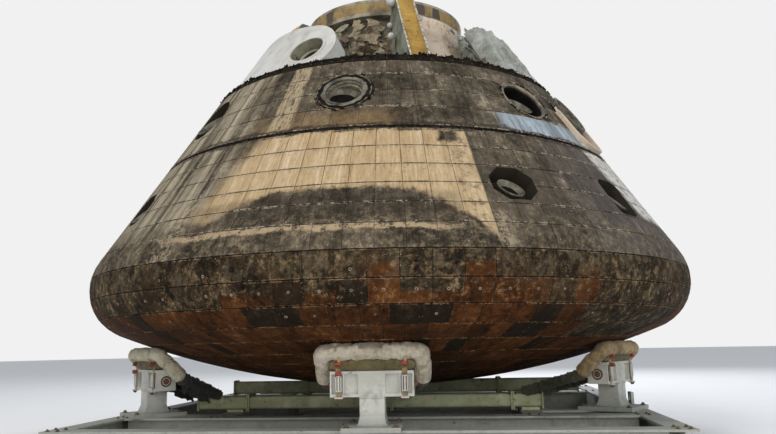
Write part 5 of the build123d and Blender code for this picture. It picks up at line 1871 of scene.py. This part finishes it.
@dataclass
class CradleHardware(Shop):
    """Bolts, ratchets and flanges of the cradle."""

    seed: int = SEED + 3

    @staticmethod
    def at(post: int, x: float, y: float, z: float) -> Matrix:
        """Placement in a post's axes."""
        return post_place(post) @ move(x, y, z)

    def ratchets(self) -> None:
        """Two strap ratchets on the face of each head, with red tops and pale levers."""
        red, pale, rusty, strap = MeshKit(), MeshKit(), MeshKit(), MeshKit()
        face = -0.075
        for post in range(len(POSTS)):
            for x in (-0.200, 0.200):
                swing = self.rng.uniform(-0.05, 0.05)
                for z, size in ((0.590, 0.030), (0.530, 0.028))[:2 if x < 0 else 1]:
                    for side in SIDES:
                        red.box((0.005, 0.026, size), self.at(post, x + side * 0.015, face - 0.020, z), 0.002)
                    red.box((0.030, 0.012, size * 0.6), self.at(post, x, face - 0.028, z + 0.003), 0.003)
                    rusty.turned(hoop(HOLE, 0.007, -0.019, 0.019),
                                 self.at(post, x, face - 0.020, z) @ spin("Y", pi / 2), 16)
                lever = self.at(post, x, face - 0.012, 0.474) @ spin("Y", swing)
                for side in SIDES:
                    pale.box((0.007, 0.010, 0.092), lever @ move(side * 0.015, 0, 0), 0.003)
                    pale.box((0.036, 0.010, 0.008), lever @ move(0, 0, side * 0.044), 0.003)
                pale.box((0.012, 0.006, 0.080), lever, 0.002)
                pale.box((0.050, 0.036, 0.010), self.at(post, x, face - 0.004, 0.391), 0.002)
                for side in SIDES:
                    spot = self.at(post, x + side * 0.014, face - 0.010, 0.386)
                    rusty.bolt(spot @ spin("X", pi), 0.015, 0.012)
                strap.box((0.034, 0.004, 0.200), self.at(post, x, face - 0.002, 0.500), 0.001)
                tail = self.at(post, x + 0.006, face - 0.037, 0.616) @ spin("X", radians(28))
                strap.box((0.018, 0.003, 0.044), tail, 0.001)
            for side in SIDES:
                end = self.at(post, side * 0.2545, 0.0, 0.463) @ spin("Y", side * pi / 2)
                rusty.turned([(0.028, -0.004), (0.040, -0.004), (0.040, 0.003), (0.035, 0.007),
                              (0.028, 0.003)], end, 28)
                pale.turned(hoop(HOLE, 0.028, -0.004, 0.002), end, 24)
                rusty.bolt(end, 0.024, 0.016)
                red.turned(hoop(HOLE, 0.009, 0.015, 0.024), end, 16)
        red.build("ratchet_red_parts", self.fin["red_paint"], "cradle_paint")
        pale.build("ratchet_levers", self.fin["cradle_paint"], "cradle_paint")
        rusty.build("ratchet_fixings", self.fin["rusty_steel"], "bare_metal")
        strap.build("ratchet_straps", self.fin["khaki_canvas"], "wrapped_fabric")
        log.info("ratchets built")

    def bolts(self) -> None:
        """Bolts of the base plates and the frame joints, and weld beads."""
        kit, welds = MeshKit(), MeshKit()
        for post in range(len(POSTS)):
            for x, y in product((-0.145, 0.145), (-0.170, 0.170)):
                kit.bolt(self.at(post, x, y, 0.228), 0.022, 0.014)
            for side in SIDES:
                welds.box((0.16, 0.012, 0.010), self.at(post, 0, side * 0.096, 0.232), 0.004)
                welds.box((0.012, 0.18, 0.010), self.at(post, side * 0.087, 0, 0.232), 0.004)
                welds.box((0.150, 0.008, 0.009), self.at(post, 0, side * 0.078, 0.3925), 0.003)
        joints = ((1.92, 1.98, 0.045, 0.016), (1.15, 1.19, 0.04, 0.013), (1.875, 1.19, 0.04, 0.013))
        for u, v, d, across in joints:
            for a, b, c, e in product(SIDES, repeat=4):
                place = FRAME_TURN @ move(a * u + e * 0.035, b * v + c * d, 0.2)
                kit.bolt(place, across, across * 0.7)
        kit.build("cradle_bolts", self.fin["rusty_steel"], "bare_metal")
        welds.build("cradle_welds", self.fin["cradle_paint"], "cradle_paint")

    def tube_flanges(self) -> None:
        """Bolted flange joints on the green cross tubes."""
        kit, bolts = MeshKit(), MeshKit()
        for v, u0, u1, side, z, joints in TUBES:
            half = side / 2 + 0.018
            for u, way in product(joints, SIDES):
                kit.box((0.012, 2 * half, 2 * half), FRAME_TURN @ move(u + way * 0.0075, v, z), 0.002)
                for y, dz in product(SIDES, repeat=2):
                    spot = move(u + way * 0.0135, v + y * (half - 0.014), z + dz * (half - 0.014))
                    bolts.bolt(FRAME_TURN @ spot @ spin("Y", way * pi / 2), 0.015, 0.010)
            for u in (u0 - 0.002, u1 + 0.002):
                kit.box((0.014, side + 0.024, side + 0.024), FRAME_TURN @ move(u, v, z), 0.003)
        kit.build("tube_flanges", self.fin["green_paint"], "green_paint")
        bolts.build("tube_bolts", self.fin["rusty_steel"], "bare_metal")


@dataclass
class Cabin(Shop):
    """What shows through the windows and the open side hatch."""

    def seat_pads(self) -> None:
        """Padded liners on the seats."""
        for i, (x, y) in enumerate(((-0.33, -0.6), (0.33, -0.6), (-0.33, 0.7), (0.33, 0.7))):
            kit = MeshKit()
            z = APEX + 0.833 + 0.26 + 0.04
            n, verts = 16, []
            for side, j, k in product((0, 1), range(n + 1), range(n + 1)):
                u, v = k / n - 0.5, j / n - 0.5
                puff = (1 - (2 * u) ** 6) * (1 - (2 * v) ** 6)
                quilt = 0.7 + 0.3 * abs(cos(3 * pi * v)) ** 0.5
                lift = 0.002 + side * 0.045 * puff * quilt
                verts.append(Vector((x + u * 0.46, y - 0.02 + v * 0.80, z + lift)))
            kit.add(verts, slab_faces(n, n))
            obj = kit.build(f"seat_pad_{i + 1}", self.fin["khaki_canvas"], "seat_paint", smooth=60)
        log.info("seat pads: 4")


@dataclass
class Stage(Shop):
    """Floor, light, background and camera."""

    def floor(self) -> None:
        """Large pale disc under the cradle."""
        kit = MeshKit()
        steps = 96
        verts = [Vector((60 * cos(tau * i / steps), 60 * sin(tau * i / steps), -0.001))
                 for i in range(steps)]
        kit.add(verts, [tuple(range(steps))])
        floor = kit.build("stage_floor", self.fin["stage_floor"], "", smooth=0)
        floor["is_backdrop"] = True

    def lamp(self, name: str, place: Sequence[float], aim: Sequence[float], size: float, power: float,
             colour: Colour) -> None:
        """Square area light.

        Args:
            name: object name.
            place: position.
            aim: point it faces.
            size: side in metres.
            power: watts.
            colour: light colour.
        """
        data = bpy.data.lights.new(name, "AREA")
        data.shape = "SQUARE"
        data.size = size
        data.energy = power
        data.color = colour
        obj = bpy.data.objects.new(name, data)
        obj.location = place
        obj.rotation_euler = (Vector(aim) - Vector(place)).to_track_quat("-Z", "Y").to_euler()
        bpy.context.scene.collection.objects.link(obj)

    def world(self) -> None:
        """Soft even light; what the camera sees behind is pale."""
        world = bpy.data.worlds.new("studio")
        bpy.context.scene.world = world
        world.use_nodes = True
        tree = world.node_tree
        tree.nodes.clear()
        out = tree.nodes.new("ShaderNodeOutputWorld")
        paths = tree.nodes.new("ShaderNodeLightPath").outputs
        light, pale = (tree.nodes.new("ShaderNodeBackground") for _ in range(2))
        light.inputs[0].default_value = (0.90, 0.94, 1.0, 1)
        light.inputs[1].default_value = 0.56
        pale.inputs[0].default_value = (0.88, 0.88, 0.88, 1)
        pale.inputs[1].default_value = 1.0
        seen = tree.nodes.new("ShaderNodeMixShader")
        tree.links.new(paths["Is Camera Ray"], seen.inputs[0])
        tree.links.new(light.outputs[0], seen.inputs[1])
        tree.links.new(pale.outputs[0], seen.inputs[2])
        tree.links.new(seen.outputs[0], out.inputs[0])

    def camera(self) -> None:
        """Camera at the reference's place: low in front, looking up."""
        data = bpy.data.cameras.new("camera")
        data.sensor_width = 36.0
        data.lens = 32.06
        data.clip_end = 300
        obj = bpy.data.objects.new("camera", data)
        pitch, yaw, roll = radians(10.49), radians(-0.05), radians(-1.15)
        turn = spin("Z", -yaw) @ spin("X", pi / 2 + pitch) @ spin("Z", roll)
        obj.matrix_world = move(0.0, -6.317, 0.699) @ turn
        bpy.context.scene.collection.objects.link(obj)
        bpy.context.scene.camera = obj

    def build(self) -> None:
        """Sets the whole stage."""
        self.floor()
        self.world()
        self.lamp("key", (-5.0, -8.0, 10.0), (0, 0, 2.0), 5.0, 560, (1.0, 0.965, 0.91))
        self.lamp("fill", (7.0, -9.0, 5.0), (0, 0, 1.6), 6.0, 260, (0.94, 0.97, 1.0))
        self.lamp("back", (3.0, 9.0, 8.0), (0, 0, 2.5), 5.0, 700, (0.92, 0.96, 1.0))
        self.lamp("low", (0.0, -9.0, 1.0), (0, 0, 0.8), 4.0, 160, (1.0, 0.94, 0.86))
        self.camera()
        view = bpy.context.scene.view_settings
        view.view_transform = "Standard"
        log.info("stage set")


def size_note(when: str, sizes: dict[str, list[list[float]]]) -> None:
    low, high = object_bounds()
    sizes[when] = [[float(v) for v in low], [float(v) for v in high]]


def main() -> None:
    """Builds every piece in order."""
    sizes: dict[str, list[list[float]]] = {}
    size_note("frame", sizes)
    random.seed(SEED)
    np.random.seed(SEED)
    finishes = Finishes()
    finishes.dress()
    skin = TileSkin(finishes)
    skin.cone()
    skin.shield()
    shell = Shell(finishes)
    shell.thrusters()
    shell.rivets()
    shell.shards()
    bay = ForwardBay(finishes)
    bay.insulation()
    bay.blanket()
    bay.liner()
    bay.pipes()
    bay.fittings()
    soft = SoftShop(finishes)
    soft.rolls()
    soft.cushions()
    soft.arms()
    hardware = CradleHardware(finishes)
    hardware.ratchets()
    hardware.bolts()
    hardware.tube_flanges()
    Cabin(finishes).seat_pads()
    Stage(finishes).build()
    size_note("visual", sizes)


if __name__ == "__main__":
    main()
